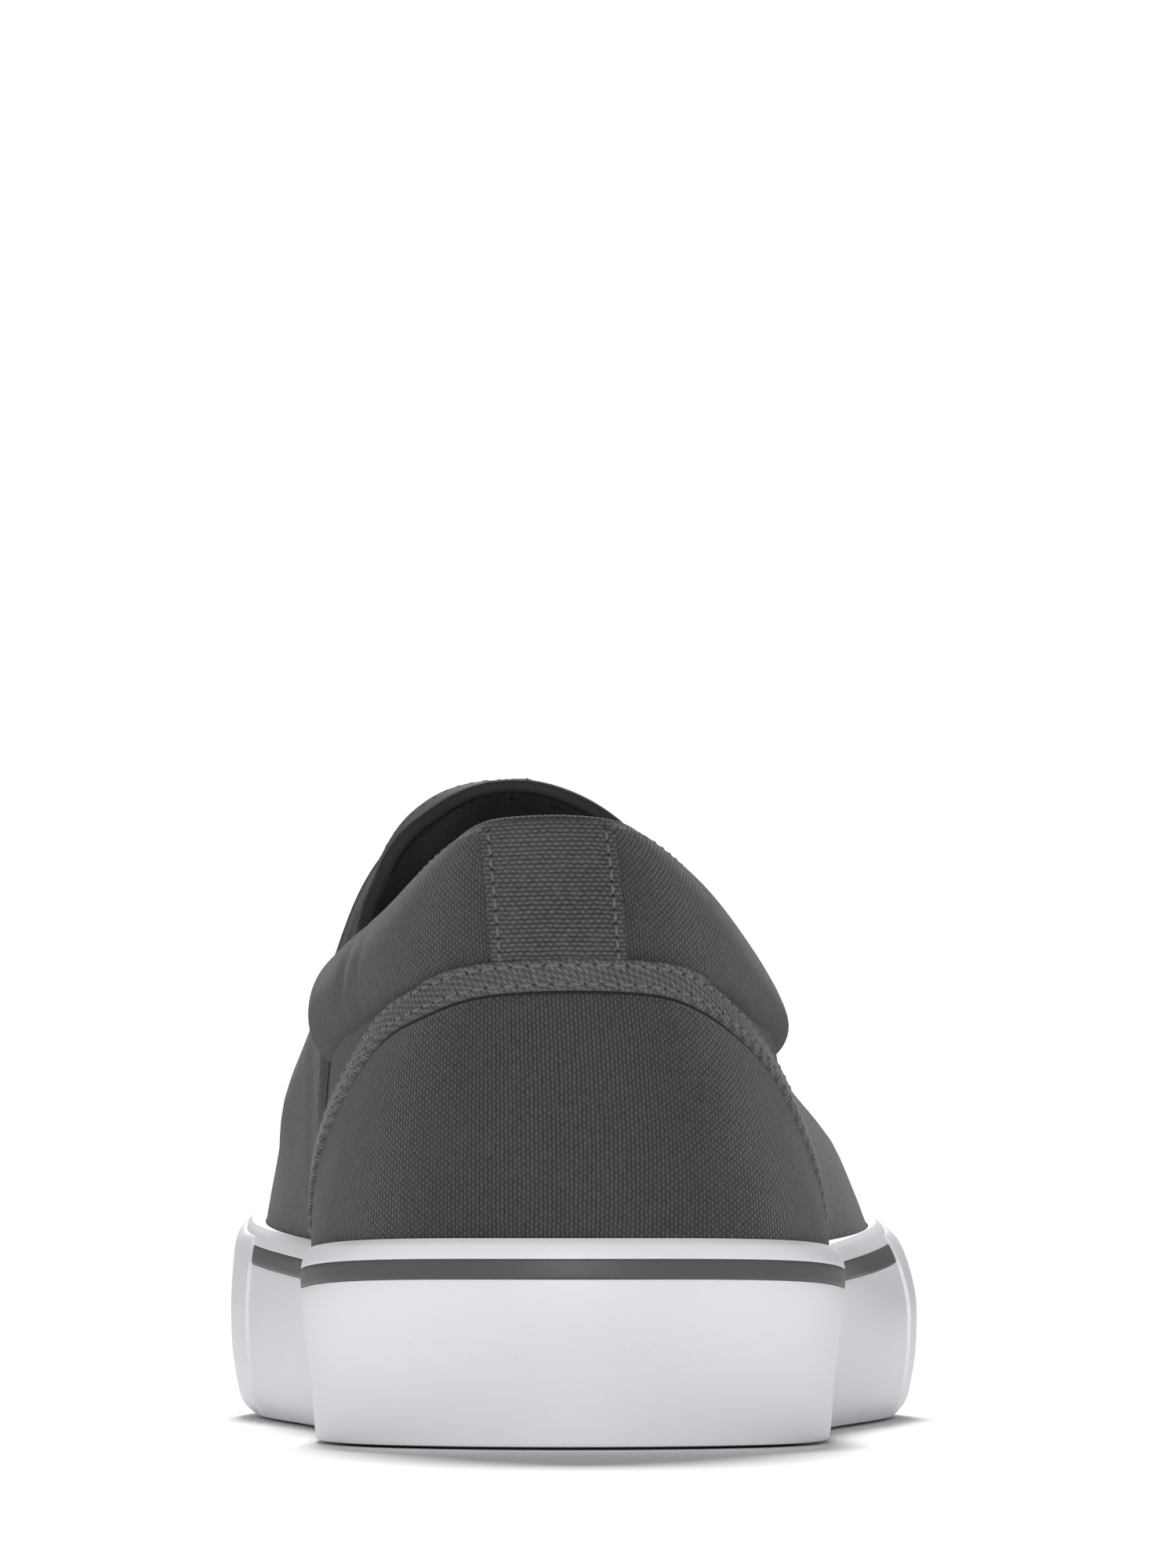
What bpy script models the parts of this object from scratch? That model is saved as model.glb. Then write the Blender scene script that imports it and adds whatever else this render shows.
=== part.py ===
"""Slip-on canvas sneaker for the right foot, standing empty on its sole.

+Y runs from heel to toe, +X to the outer (lateral) side, +Z up, and the origin is at
the middle of the sole on the floor.  Sizes are in millimetres and the meshes in metres.

Every piece is cut from one surface, the last.  It is a fan of ribs: each rib starts on
the feather line, where the upper meets the sole, and climbs over the foot to a ridge.
A place on it is (q, t): |q| goes from 0 at the back of the heel to 1 at the tip of the
toe, positive on the outer side and negative on the inner side, and t goes from 0 on the
feather line to 1 on the ridge.
"""

import math

import bmesh
import bpy
import numpy as np

# Driving dimensions
LENGTH = 300.0          # whole shoe, heel to toe
BALL_WIDTH = 113.5      # whole sole, where it is widest
INSTEP_HEIGHT = 102.0   # floor to the throat of the vamp
HEEL_HEIGHT = 93.0      # floor to the top of the heel collar
SOLE_HEIGHT = 31.0      # floor to the top of the sidewall at the back of the heel

# Sole
BED_HEEL = 17.0         # floor to the footbed under the heel
BED_BALL = 12.5         # floor to the footbed under the ball, before the toe springs up
TOE_SPRING = 13.0       # lift of the toe tip
SPRING_START = 0.62     # share of the length where that lift begins
ARCH_LIFT = 1.5         # hollow under the waist
ARCH_SPAN = (0.35, 0.53)
SIDEWALL = 4.0          # rubber between the outline and the feather line
STRIPE_HEIGHT = 3.6     # coloured line round the sidewall
STRIPE_DROP = 3.0       # top of the sidewall to the top of the line
STRIPE_DEPTH = 1.1      # groove that holds the line
BUMPER = 1.5            # second rubber layer round the toe
BUMPER_START = 0.60     # share of each half outline where that layer begins
BUMPER_DROP = 1.6       # top of the sidewall to the top of the toe layer
TREAD = 4.0             # tread plate, lugs and all
LUG_DEPTH = 1.8
TREAD_SHOWS = 0.9       # tread below the white sidewall
TREAD_INSET = 3.2       # edge of the sidewall's foot to the tread plate
TREAD_BORDER = 7.0      # plain rim round the lugs
LUG_GROOVE = 2.6        # across the top of each V between two lugs
LUG_PITCH = 8.0         # least distance from one row of lugs to the next
LUG_COLUMNS = 4
INSOLE = 4.0

# Upper
WALL = 2.2              # canvas and lining
EDGE = 1.5              # wall where it is turned at the collar's edge
PAD_OUT = 4.4           # how far the collar's padding swells outwards at the ankle
PAD_IN = 3.6            # and inwards
COUNTER = 1.1           # canvas panel round the heel
TAPE = 1.7              # folded tape over the panel's upper edge
TAPE_WIDTH = 4.6
STRIP = 0.9             # webbing up the back of the collar
STRIP_WIDTH = 20.0
GORE = 1.3              # elastic at each side of the throat
GAP = 0.3               # clearance between neighbouring pieces

THROAT = 0.40           # |q| of the rib that ends at the throat
GORE_SPAN = (0.325, 0.380)
GORE_FLARE = 0.35       # how much wider the elastic is at the collar
GORE_ROW = 4            # grid row where its lower end lies
COUNTER_END = 0.242     # |q| where the heel panel runs into the sole

# The sole's outline: share of the length from the heel, share of the width from the middle
OUTLINE = (
    # name                  along    across
    ("heel back",           0.000,   0.000),
    ("heel corner, outer",  0.042,   0.266),
    ("heel side, outer",    0.130,   0.366),
    ("waist, outer",        0.320,   0.374),
    ("midfoot, outer",      0.480,   0.436),
    ("ball, outer",         0.655,   0.500),
    ("little toe",          0.780,   0.462),
    ("toe corner, outer",   0.890,   0.338),
    ("toe front, outer",    0.968,   0.158),
    ("toe tip",             1.000,  -0.080),
    ("toe front, inner",    0.968,  -0.300),
    ("toe corner, inner",   0.890,  -0.424),
    ("big toe",             0.795,  -0.482),
    ("ball, inner",         0.700,  -0.500),
    ("midfoot, inner",      0.560,  -0.458),
    ("waist, inner",        0.390,  -0.380),
    ("heel front, inner",   0.260,  -0.361),
    ("heel side, inner",    0.130,  -0.364),
    ("heel corner, inner",  0.042,  -0.262),
)
TOE_ROW = 9

# The top of the sidewall: share of the length, share of the sole height
RIM = (
    # along   height
    (0.00,    1.000),
    (0.06,    0.985),
    (0.14,    0.945),
    (0.30,    0.935),
    (0.50,    0.955),
    (0.68,    1.005),
    (0.85,    1.060),
    (1.00,    1.080),
)

# The sidewall's section: share of its height, and how far it draws in, as a share of the sole height
SIDEWALL_SECTION = (
    # height  heel    ball
    (0.03,    0.145,  0.115),
    (0.07,    0.108,  0.086),
    (0.19,    0.080,  0.040),
    (0.36,    0.052,  0.006),
    (0.56,    0.024,  0.000),
    (0.77,    0.000,  0.012),
    (0.89,    0.000,  0.026),
    (0.97,    0.018,  0.042),
    (1.00,    0.042,  0.064),
)
SECTION_BLEND = (0.28, 0.55)   # shares of the length where the heel's section turns into the ball's

# The ridge: share of the length, of the width, and of the instep height
RIDGE = (
    # along   across   height
    (0.045,  -0.095,   1.240),
    (0.160,  -0.080,   1.275),
    (0.270,  -0.086,   1.235),
    (0.335,  -0.088,   1.125),
    (0.400,  -0.083,   1.000),
    (0.480,  -0.080,   0.868),
    (0.570,  -0.074,   0.752),
    (0.660,  -0.066,   0.664),
    (0.750,  -0.062,   0.602),
    (0.830,  -0.066,   0.560),
    (0.880,  -0.072,   0.530),
)

# The ribs: where each meets the ridge, and its shape.  Rise is how steeply it starts, as a share
# of its height; belly is how far it swells out first and shoulder how full it is near the top,
# both as shares of its reach.
RIBS = (
    # |q|    ridge    rise: outer inner   belly: outer inner   shoulder: outer inner
    (0.00,   0.045,   0.33,  0.33,        0.36,   0.36,         0.60,   0.60),
    (0.10,   0.094,   0.30,  0.30,        0.17,   0.22,         0.27,   0.02),
    (0.20,   0.180,   0.27,  0.29,        0.14,   0.25,         0.12,   0.10),
    (0.30,   0.290,   0.28,  0.38,        0.07,   0.24,         0.37,   0.84),
    (0.40,   0.400,   0.36,  0.56,        0.07,   0.20,         0.47,   1.06),
    (0.50,   0.505,   0.44,  0.62,        0.06,   0.14,         0.58,   0.96),
    (0.64,   0.660,   0.49,  0.64,        0.03,   0.08,         0.58,   0.76),
    (0.80,   0.795,   0.56,  0.62,        0.03,   0.06,         0.60,   0.64),
    (0.92,   0.855,   0.60,  0.62,        0.04,   0.04,         0.62,   0.62),
    (1.00,   0.880,   0.62,  0.62,        0.04,   0.04,         0.62,   0.62),
)

# Lines on the upper, as shares of the heel height: the collar's edge, the seam under its padding
# and the upper edge of the heel panel.  The last column is the padding's swell, as a share.
LINES = (
    # |q|    collar   seam    panel   padding
    (0.00,   1.000,   0.755,  0.715,  0.45),
    (0.04,   0.995,   0.752,  0.710,  0.50),
    (0.09,   0.948,   0.725,  0.660,  0.75),
    (0.12,   0.916,   0.705,  0.610,  0.90),
    (0.15,   0.884,   0.688,  0.550,  0.96),
    (0.19,   0.850,   0.667,  0.460,  1.00),
    (0.22,   0.828,   0.655,  0.380,  1.00),
    (0.25,   0.810,   0.636,  0.300,  1.00),
    (0.29,   0.790,   0.624,  0.290,  1.00),
    (0.32,   0.782,   0.618,  0.290,  0.75),
    (0.34,   0.784,   0.614,  0.290,  0.25),
    (0.36,   0.800,   0.606,  0.290,  0.00),
    (0.38,   0.860,   0.600,  0.290,  0.00),
    (0.39,   1.030,   0.600,  0.290,  0.00),
    (0.40,   1.097,   0.600,  0.290,  0.00),
)
PAD_ROWS = (0.0, 0.07, 0.25, 0.5, 0.75, 0.93, 1.0)   # shares of the padding's height
FOOT_ROWS = 7                                         # grid rows below it
FOREFOOT_SEAM = 0.62                                  # where those rows lie on the forefoot's ribs

# Ribs for the solids: shares of |q|, closer where the shape turns fast
RIB_STEPS = ((0.0, 0.20, 8), (0.20, 0.325, 4), (0.325, 0.380, 3), (0.380, 0.40, 2), (0.40, 0.64, 5), (0.64, 0.82, 4), (0.82, 1.0, 8))

# Colour, roughness and metal of each material
CANVAS = ((0.075, 0.075, 0.073, 1.0), 0.92, 0.0)
TAPE_CLOTH = ((0.085, 0.086, 0.088, 1.0), 0.90, 0.0)
WHITE_RUBBER = ((0.82, 0.81, 0.83, 1.0), 0.45, 0.0)
GREY_RUBBER = ((0.095, 0.095, 0.097, 1.0), 0.50, 0.0)
TREAD_RUBBER = ((0.035, 0.037, 0.042, 1.0), 0.70, 0.0)
ELASTIC = ((0.10, 0.10, 0.10, 1.0), 0.85, 0.0)
FOOTBED = ((0.03, 0.03, 0.032, 1.0), 0.95, 0.0)


def smooth_slopes(x, y):
    """Slopes that give a cubic through the rows one smooth bend, level at both ends."""
    n = len(x)
    h = np.diff(x)
    rise = np.diff(y) / h
    a = np.eye(n)
    b = np.zeros(n)
    for i in range(1, n - 1):
        a[i, i - 1:i + 2] = h[i], 2 * (h[i - 1] + h[i]), h[i - 1]
        b[i] = 3 * (h[i] * rise[i - 1] + h[i - 1] * rise[i])
    return np.linalg.solve(a, b)


def steady_slopes(x, y):
    """Slopes that never let the curve overshoot its rows, as a drawn seam line."""
    rise = np.diff(y) / np.diff(x)
    inner = np.zeros(len(x))
    same = rise[1:] * rise[:-1] > 0
    total = np.where(same, rise[1:] + rise[:-1], 1.0)
    inner[1:-1] = np.where(same, 2 * rise[1:] * rise[:-1] / total, 0.0)
    inner[-1] = rise[-1]
    return inner


def read(rows, column, at, slopes=smooth_slopes):
    """One column of a table, read between its rows at the first column's value."""
    x = np.array([row[0] for row in rows], float)
    y = np.array([row[column] for row in rows], float)
    m = slopes(x, y)
    at = np.clip(np.asarray(at, float), x[0], x[-1])
    k = np.clip(np.searchsorted(x, at, side="right") - 1, 0, len(x) - 2)
    h = x[k + 1] - x[k]
    s = (at - x[k]) / h
    start = (1 + 2 * s) * (1 - s) ** 2 * y[k] + s * (1 - s) ** 2 * h * m[k]
    end = s ** 2 * (3 - 2 * s) * y[k + 1] + s ** 2 * (s - 1) * h * m[k + 1]
    return start + end


def ease(x, low, high):
    """0 before low, 1 after high and a soft step between."""
    s = np.clip((np.asarray(x, float) - low) / (high - low), 0.0, 1.0)
    return s * s * (3 - 2 * s)


def trace_outline(samples=160):
    """The closed outline as two dense halves, heel to toe, each spaced evenly by its length."""
    points = np.array([row[1:] for row in OUTLINE], float)
    rows = np.vstack([points] * 3 + [points[:1]])
    step = np.sqrt(np.linalg.norm(np.diff(rows * (LENGTH, BALL_WIDTH), axis=0), axis=1))
    where = np.concatenate([[0.0], np.cumsum(step)])
    count = len(points)
    first, toe, last = where[count], where[count + TOE_ROW], where[2 * count]
    along = list(zip(where, rows[:, 0]))
    across = list(zip(where, rows[:, 1]))
    dense = {}
    for side, ends in (("outer", (first, toe)), ("inner", (last, toe))):
        at = np.linspace(*ends, samples * 4)
        dense[side] = np.column_stack([read(across, 1, at), read(along, 1, at)])
    both = np.vstack(list(dense.values()))
    low, high = both.min(0), both.max(0)
    halves = {}
    for side, xy in dense.items():
        share = (xy - low) / (high - low)
        width = BALL_WIDTH - 2 * BUMPER
        length = LENGTH - BUMPER
        xy = np.column_stack([(share[:, 0] - 0.5) * width, share[:, 1] * length - LENGTH / 2])
        run = np.concatenate([[0.0], np.cumsum(np.linalg.norm(np.diff(xy, axis=0), axis=1))])
        halves[side] = (run / run[-1], xy)
    return halves


HALVES = trace_outline()


def outline(q, inset=0.0):
    """Points of the sole's outline at q, drawn in by inset along its own normal."""
    q = np.asarray(q, float)

    def place(at):
        at = (at + 1.0) % 2.0 - 1.0
        sides = {name: np.column_stack([np.interp(abs(at), run, xy[:, i]) for i in (0, 1)])
                 for name, (run, xy) in HALVES.items()}
        return np.where(at[:, None] >= 0, sides["outer"], sides["inner"])

    step = 0.006
    tangent = place(q + step) - place(q - step)
    tangent /= np.linalg.norm(tangent, axis=1)[:, None]
    normal = np.column_stack([tangent[:, 1], -tangent[:, 0]])
    return place(q) - normal * np.reshape(inset, (-1, 1))


def along_share(y):
    return (np.asarray(y, float) + LENGTH / 2) / LENGTH


def spring(y):
    """Lift of the whole sole towards the toe."""
    s = np.clip((along_share(y) - SPRING_START) / (1 - SPRING_START), 0, None)
    return TOE_SPRING * s ** 2


def arch(y):
    """Lift of the underside at the waist."""
    low, high = ARCH_SPAN
    s = np.clip((along_share(y) - low) / (high - low), 0, 1)
    return ARCH_LIFT * np.sin(math.pi * s) ** 2


def bed(y):
    """Height of the footbed, which the upper and the insole stand on."""
    return BED_HEEL + (BED_BALL - BED_HEEL) * ease(along_share(y), 0.25, 0.60) + spring(y)


def rim(y):
    """Height of the sidewall's top above the floor, before the toe's lift."""
    return SOLE_HEIGHT * read(RIM, 1, along_share(y))


def wall_inset(height_share, y):
    """How far the sidewall draws in from the outline at a share of its height."""
    to_ball = ease(along_share(y), *SECTION_BLEND)
    heel = read(SIDEWALL_SECTION, 1, height_share, steady_slopes)
    ball = read(SIDEWALL_SECTION, 2, height_share, steady_slopes)
    return SOLE_HEIGHT * (heel + (ball - heel) * to_ball)


def ridge(share):
    """Points of the ridge at a share of the length."""
    share = np.asarray(share, float)
    return np.column_stack([
        BALL_WIDTH * read(RIDGE, 1, share),
        (share - 0.5) * LENGTH,
        INSTEP_HEIGHT * read(RIDGE, 2, share),
    ])


def by_side(rows, outer_column, q):
    outer = read(rows, outer_column, abs(q))
    inner = read(rows, outer_column + 1, abs(q))
    return np.where(q >= 0, outer, inner)[:, None]


def last(q, t):
    """The last's surface at (q, t), both arrays of one length."""
    q = (np.asarray(q, float) + 1.0) % 2.0 - 1.0
    t = np.clip(np.asarray(t, float), 0.0, 1.0)[:, None]
    feather_xy = outline(q, SIDEWALL)
    feather = np.column_stack([feather_xy, bed(feather_xy[:, 1]) + GAP])
    top = ridge(read(RIBS, 1, abs(q)))
    reach = (feather - top) * (1.0, 1.0, 0.0)
    up = (top - feather) * (0.0, 0.0, 1.0)
    rise = feather + up * by_side(RIBS, 2, q) + reach * by_side(RIBS, 4, q)
    shoulder = top + reach * by_side(RIBS, 6, q)
    s = 1 - t
    return s ** 3 * feather + 3 * s ** 2 * t * rise + 3 * s * t ** 2 * shoulder + t ** 3 * top


def normals(q, t):
    """Outward unit normals of the last.  On the ridge both sides share one."""
    q = np.asarray(q, float)
    t = np.asarray(t, float)
    dq, dt = 0.004, 0.004
    low, high = np.clip(t - dt, 0, 1), np.clip(t + dt, 0, 1)
    across = last(q + dq, t) - last(q - dq, t)
    upward = last(q, high) - last(q, low)
    n = np.cross(across, upward)
    n /= np.maximum(np.linalg.norm(n, axis=1), 1e-9)[:, None]
    share = read(RIBS, 1, abs(q))
    slope = ridge(share + 0.002) - ridge(share - 0.002)
    crest = np.column_stack([np.zeros(len(q)), -slope[:, 2], slope[:, 1]])
    crest /= np.linalg.norm(crest, axis=1)[:, None]
    near = np.clip((t - 0.97) / 0.03, 0, 1)[:, None]
    n = n * (1 - near) + crest * near
    return n / np.linalg.norm(n, axis=1)[:, None]


def rib_at_height(q, height):
    """The t at which each rib reaches a height, by halving."""
    low, high = np.zeros(len(q)), np.ones(len(q))
    for _ in range(30):
        middle = (low + high) / 2
        under = last(q, middle)[:, 2] < height
        low = np.where(under, middle, low)
        high = np.where(under, high, middle)
    return (low + high) / 2


def line_height(column, q):
    """Height of a line of the LINES table at q."""
    return HEEL_HEIGHT * read(LINES, column, abs(np.asarray(q, float)), steady_slopes)


def collar_t(q):
    """Where the upper ends: at the collar's edge, and at the ridge in front of the throat."""
    height = np.minimum(line_height(1, q), INSTEP_HEIGHT)
    return np.where(abs(q) < THROAT, rib_at_height(q, height), 1.0)


def seam_t(q):
    """Where the padding begins, and on the forefoot a free place in the grid."""
    front = ease(abs(q), GORE_SPAN[0], THROAT + 0.02)
    return rib_at_height(q, line_height(2, q)) * (1 - front) + FOREFOOT_SEAM * collar_t(q) * front


def swell(q, t):
    """Share of the padding's swell at (q, t): a rounded cushion from its seam to the collar."""
    low, high = seam_t(q), collar_t(q)
    w = np.clip((t - low) / (high - low), 0, 1)
    return read(LINES, 4, abs(q)) * np.sqrt(np.clip(1 - (2 * w - 1) ** 2, 0, 1)), w


def upper_outside(q, t, lift=0.0):
    """The upper's outer face, or a face lift millimetres off it."""
    share, _ = swell(q, t)
    return last(q, t) + normals(q, t) * (PAD_OUT * share + lift)[:, None]


def upper_inside(q, t):
    """The upper's inner face.  The wall thins to a turned edge at the collar, and at the throat it
    lies straight under the outer face, so that the edge of the vamp stays square."""
    share, w = swell(q, t)
    inwards = normals(q, t)
    inwards[:, 1] *= 1 - ease(w, 0.3, 0.8) * np.exp(-((abs(q) - THROAT) / 0.03) ** 2)
    edge = ease(w, PAD_ROWS[-2], 1.0) * (1 - ease(abs(q), *GORE_SPAN))
    wall = WALL + (EDGE - WALL) * edge
    return last(q, t) - inwards * (wall + PAD_IN * share)[:, None]


def rib_places():
    """|q| of the ribs that the solids use, from heel to toe."""
    runs = [np.linspace(a, b, n, endpoint=False) for a, b, n in RIB_STEPS]
    return np.concatenate(runs + [[RIB_STEPS[-1][1]]])


def round_the_shoe():
    """The ribs as one closed loop: heel, outer side, toe, inner side."""
    u = rib_places()
    return np.concatenate([u, -u[-2:0:-1]])


def flare(q, row_share):
    """Leans the grid near the gore, so that the elastic widens towards the collar."""
    middle = sum(GORE_SPAN) / 2
    off = abs(q) - middle
    lean = GORE_FLARE * off * np.exp(-(off / 0.045) ** 2) * row_share
    return q + np.sign(q) * lean


def rows_of(q):
    """The grid's rows on each rib, as (rib, row) arrays of q and t."""
    rows = FOOT_ROWS + len(PAD_ROWS)
    qs, ts = [], []
    for j in range(rows):
        lean = np.clip((j - GORE_ROW) / (rows - 1 - GORE_ROW), 0, 1)
        place = np.where(abs(q) < THROAT - 1e-6, flare(q, lean), q)
        low, high = seam_t(place), collar_t(place)
        if j < FOOT_ROWS:
            t = low * j / FOOT_ROWS
        else:
            t = low + (high - low) * PAD_ROWS[j - FOOT_ROWS]
        qs.append(place)
        ts.append(t)
    return np.array(qs).T, np.array(ts).T


def on_grid(face, q, t, *lift):
    """A face function read at every place of a grid."""
    return face(q.ravel(), t.ravel(), *lift).reshape(*q.shape, 3)


def material(name, look):
    made = bpy.data.materials.new(name)
    made.use_nodes = True
    made.diffuse_color = look[0]
    shader = made.node_tree.nodes["Principled BSDF"]
    shader.inputs["Base Color"].default_value = look[0]
    shader.inputs["Roughness"].default_value = look[1]
    shader.inputs["Metallic"].default_value = look[2]
    return made


def add_object(name, mesh, look):
    """Merges the mesh's seams, turns its faces outwards and adds it to the scene."""
    shape = bmesh.new()
    shape.from_mesh(mesh)
    bmesh.ops.remove_doubles(shape, verts=shape.verts, dist=1e-6)
    bmesh.ops.dissolve_degenerate(shape, edges=shape.edges, dist=1e-7)
    bmesh.ops.recalc_face_normals(shape, faces=shape.faces)
    shape.to_mesh(mesh)
    shape.free()
    mesh.shade_smooth()
    mesh.set_sharp_from_angle(angle=math.radians(40))
    made = bpy.data.objects.new(name, mesh)
    bpy.context.scene.collection.objects.link(made)
    made.data.materials.append(material(name, look))
    return made


def mesh_of(name, points, faces):
    mesh = bpy.data.meshes.new(name)
    mesh.from_pydata((np.asarray(points) * 0.001).tolist(), [], faces)
    return mesh


def shell(name, look, outside, inside, cells, closed, open_top=None):
    """A wall between two grids of points, with its free edges closed.

    cells marks the grid cells that exist.  open_top marks the columns whose last row is a
    free edge; the other columns meet the opposite side there."""
    columns, rows = outside.shape[:2]
    points = np.concatenate([outside.reshape(-1, 3), inside.reshape(-1, 3)])
    back = columns * rows

    def at(k, j):
        return (k % columns) * rows + j

    def real(k, j):
        if closed:
            k %= columns
        elif not 0 <= k < columns - 1:
            return False
        return 0 <= j < rows - 1 and bool(cells[k, j])

    faces = []
    for k in range(columns if closed else columns - 1):
        for j in range(rows - 1):
            if not real(k, j):
                continue
            a, b, c, d = at(k, j), at(k + 1, j), at(k + 1, j + 1), at(k, j + 1)
            faces.append((a, b, c, d))
            faces.append((d + back, c + back, b + back, a + back))
            if not real(k, j - 1):
                faces.append((b, a, a + back, b + back))
            if not real(k, j + 1) and (j + 1 < rows - 1 or open_top is None or open_top[k]):
                faces.append((d, c, c + back, d + back))
            if not real(k - 1, j):
                faces.append((a, d, d + back, a + back))
            if not real(k + 1, j):
                faces.append((c, b, b + back, c + back))
    return add_object(name, mesh_of(name, points, faces), look)


def ladder(count):
    """Pairs of columns that face each other across the shoe, heel to toe."""
    half = count // 2
    return [(i, (count - i) % count) for i in range(half + 1)]


def rungs(count, row, up):
    """Faces that close a ring of points straight across the shoe."""
    faces = []
    pairs = ladder(count)
    for (a, b), (c, d) in zip(pairs, pairs[1:]):
        face = list(dict.fromkeys((row(a), row(c), row(d), row(b))))
        faces.append(face if up else face[::-1])
    return faces


def ring_solid(name, look, rings, capped=True):
    """Rings of points joined in order; the first and last are closed across or to each other."""
    count = len(rings[0])
    points = np.concatenate(rings)
    faces = []
    total = len(rings)
    for r in range(total if not capped else total - 1):
        for k in range(count):
            n = (k + 1) % count
            s = (r + 1) % total
            faces.append((r * count + k, r * count + n, s * count + n, s * count + k))
    if capped:
        faces += rungs(count, lambda k: k, up=False)
        faces += rungs(count, lambda k: (total - 1) * count + k, up=True)
    return add_object(name, mesh_of(name, points, faces), look)


def sole_ring(q, height, inset):
    """A ring round the sole at heights above the floor, before the toe's lift, and insets."""
    flat = outline(q)
    xy = outline(q, inset)
    z = height + spring(flat[:, 1]) + np.zeros(len(q))
    return np.column_stack([xy, z])


def wall_ring(q, height, extra=0.0):
    """A ring on the sidewall's outer face, extra millimetres further in."""
    y = outline(q)[:, 1]
    share = height / rim(y)
    return sole_ring(q, height, wall_inset(share, y) + extra)


def stripe_heights(q):
    """Lower and upper edge of the coloured line."""
    top = rim(outline(q)[:, 1]) - STRIPE_DROP
    return top - STRIPE_HEIGHT, top


def foot_inset(q):
    """Inset of the sidewall's lower edge."""
    return wall_inset(SIDEWALL_SECTION[0][0], outline(q)[:, 1])


def midsole():
    """White rubber: the sidewall, the slab under the foot and the pocket that holds the upper."""
    q = round_the_shoe()
    y = outline(q)[:, 1]
    low, high = stripe_heights(q)
    top = rim(y)
    under = TREAD_SHOWS + arch(y)
    seat = TREAD + arch(y)
    rings = [
        sole_ring(q, seat, foot_inset(q) + TREAD_INSET),
        sole_ring(q, under, foot_inset(q) + TREAD_INSET),
        sole_ring(q, under, foot_inset(q)),
    ]
    for share in (0.10, 0.30, 0.64):
        rings.append(wall_ring(q, under + (low - under) * share))
    rings += [
        wall_ring(q, low),
        wall_ring(q, low, STRIPE_DEPTH),
        wall_ring(q, high, STRIPE_DEPTH),
        wall_ring(q, high),
        wall_ring(q, high + (top - high) * 0.65),
        wall_ring(q, top),
    ]
    floor = bed(outline(q, SIDEWALL)[:, 1])
    for share in (1.0, 0.85, 0.62, 0.3, 0.0):
        # the pocket's wall stands a clearance outside the upper
        height = floor + (top + spring(y) - floor) * share
        t = rib_at_height(q, height)
        ring = last(q, t) + normals(q, t) * GAP
        ring[:, 2] = height
        rings.append(ring)
    return ring_solid("midsole", WHITE_RUBBER, rings)


def foxing_stripe():
    """The coloured line, a flat rubber band that fills the sidewall's groove."""
    q = round_the_shoe()
    low, high = stripe_heights(q)
    rings = [
        wall_ring(q, low + GAP, STRIPE_DEPTH - GAP),
        wall_ring(q, low + GAP, -0.1),
        wall_ring(q, high - GAP, -0.1),
        wall_ring(q, high - GAP, STRIPE_DEPTH - GAP),
    ]
    return ring_solid("foxing_stripe", GREY_RUBBER, rings, capped=False)


def toe_bumper():
    """A second layer of white rubber round the toe, over the line."""
    u = rib_places()
    u = np.concatenate([[BUMPER_START], u[u > BUMPER_START + 0.01]])
    q = np.concatenate([u, -u[-2::-1]])
    y = outline(q)[:, 1]
    top = rim(y) - BUMPER_DROP
    foot = TREAD_SHOWS + GAP
    full = 0.35 + 0.65 * ease(abs(q), BUMPER_START, BUMPER_START + 0.05)
    levels = (0.0, 0.06, 0.20, 0.42, 0.68, 0.85, 1.0)
    swells = (0.30, 0.80, 1.00, 1.00, 1.00, 0.90, 0.30)
    outside, inside = [], []
    for share, swelling in zip(levels, swells):
        height = foot + (top - foot) * share
        clear = GAP + 0.1
        outside.append(wall_ring(q, height, -clear - (BUMPER - clear) * swelling * full))
        inside.append(wall_ring(q, height, -clear))
    outside = np.array(outside).transpose(1, 0, 2)
    inside = np.array(inside).transpose(1, 0, 2)
    cells = np.ones((len(q) - 1, len(levels) - 1), bool)
    return shell("toe_bumper", WHITE_RUBBER, outside, inside, cells, closed=False)


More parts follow.
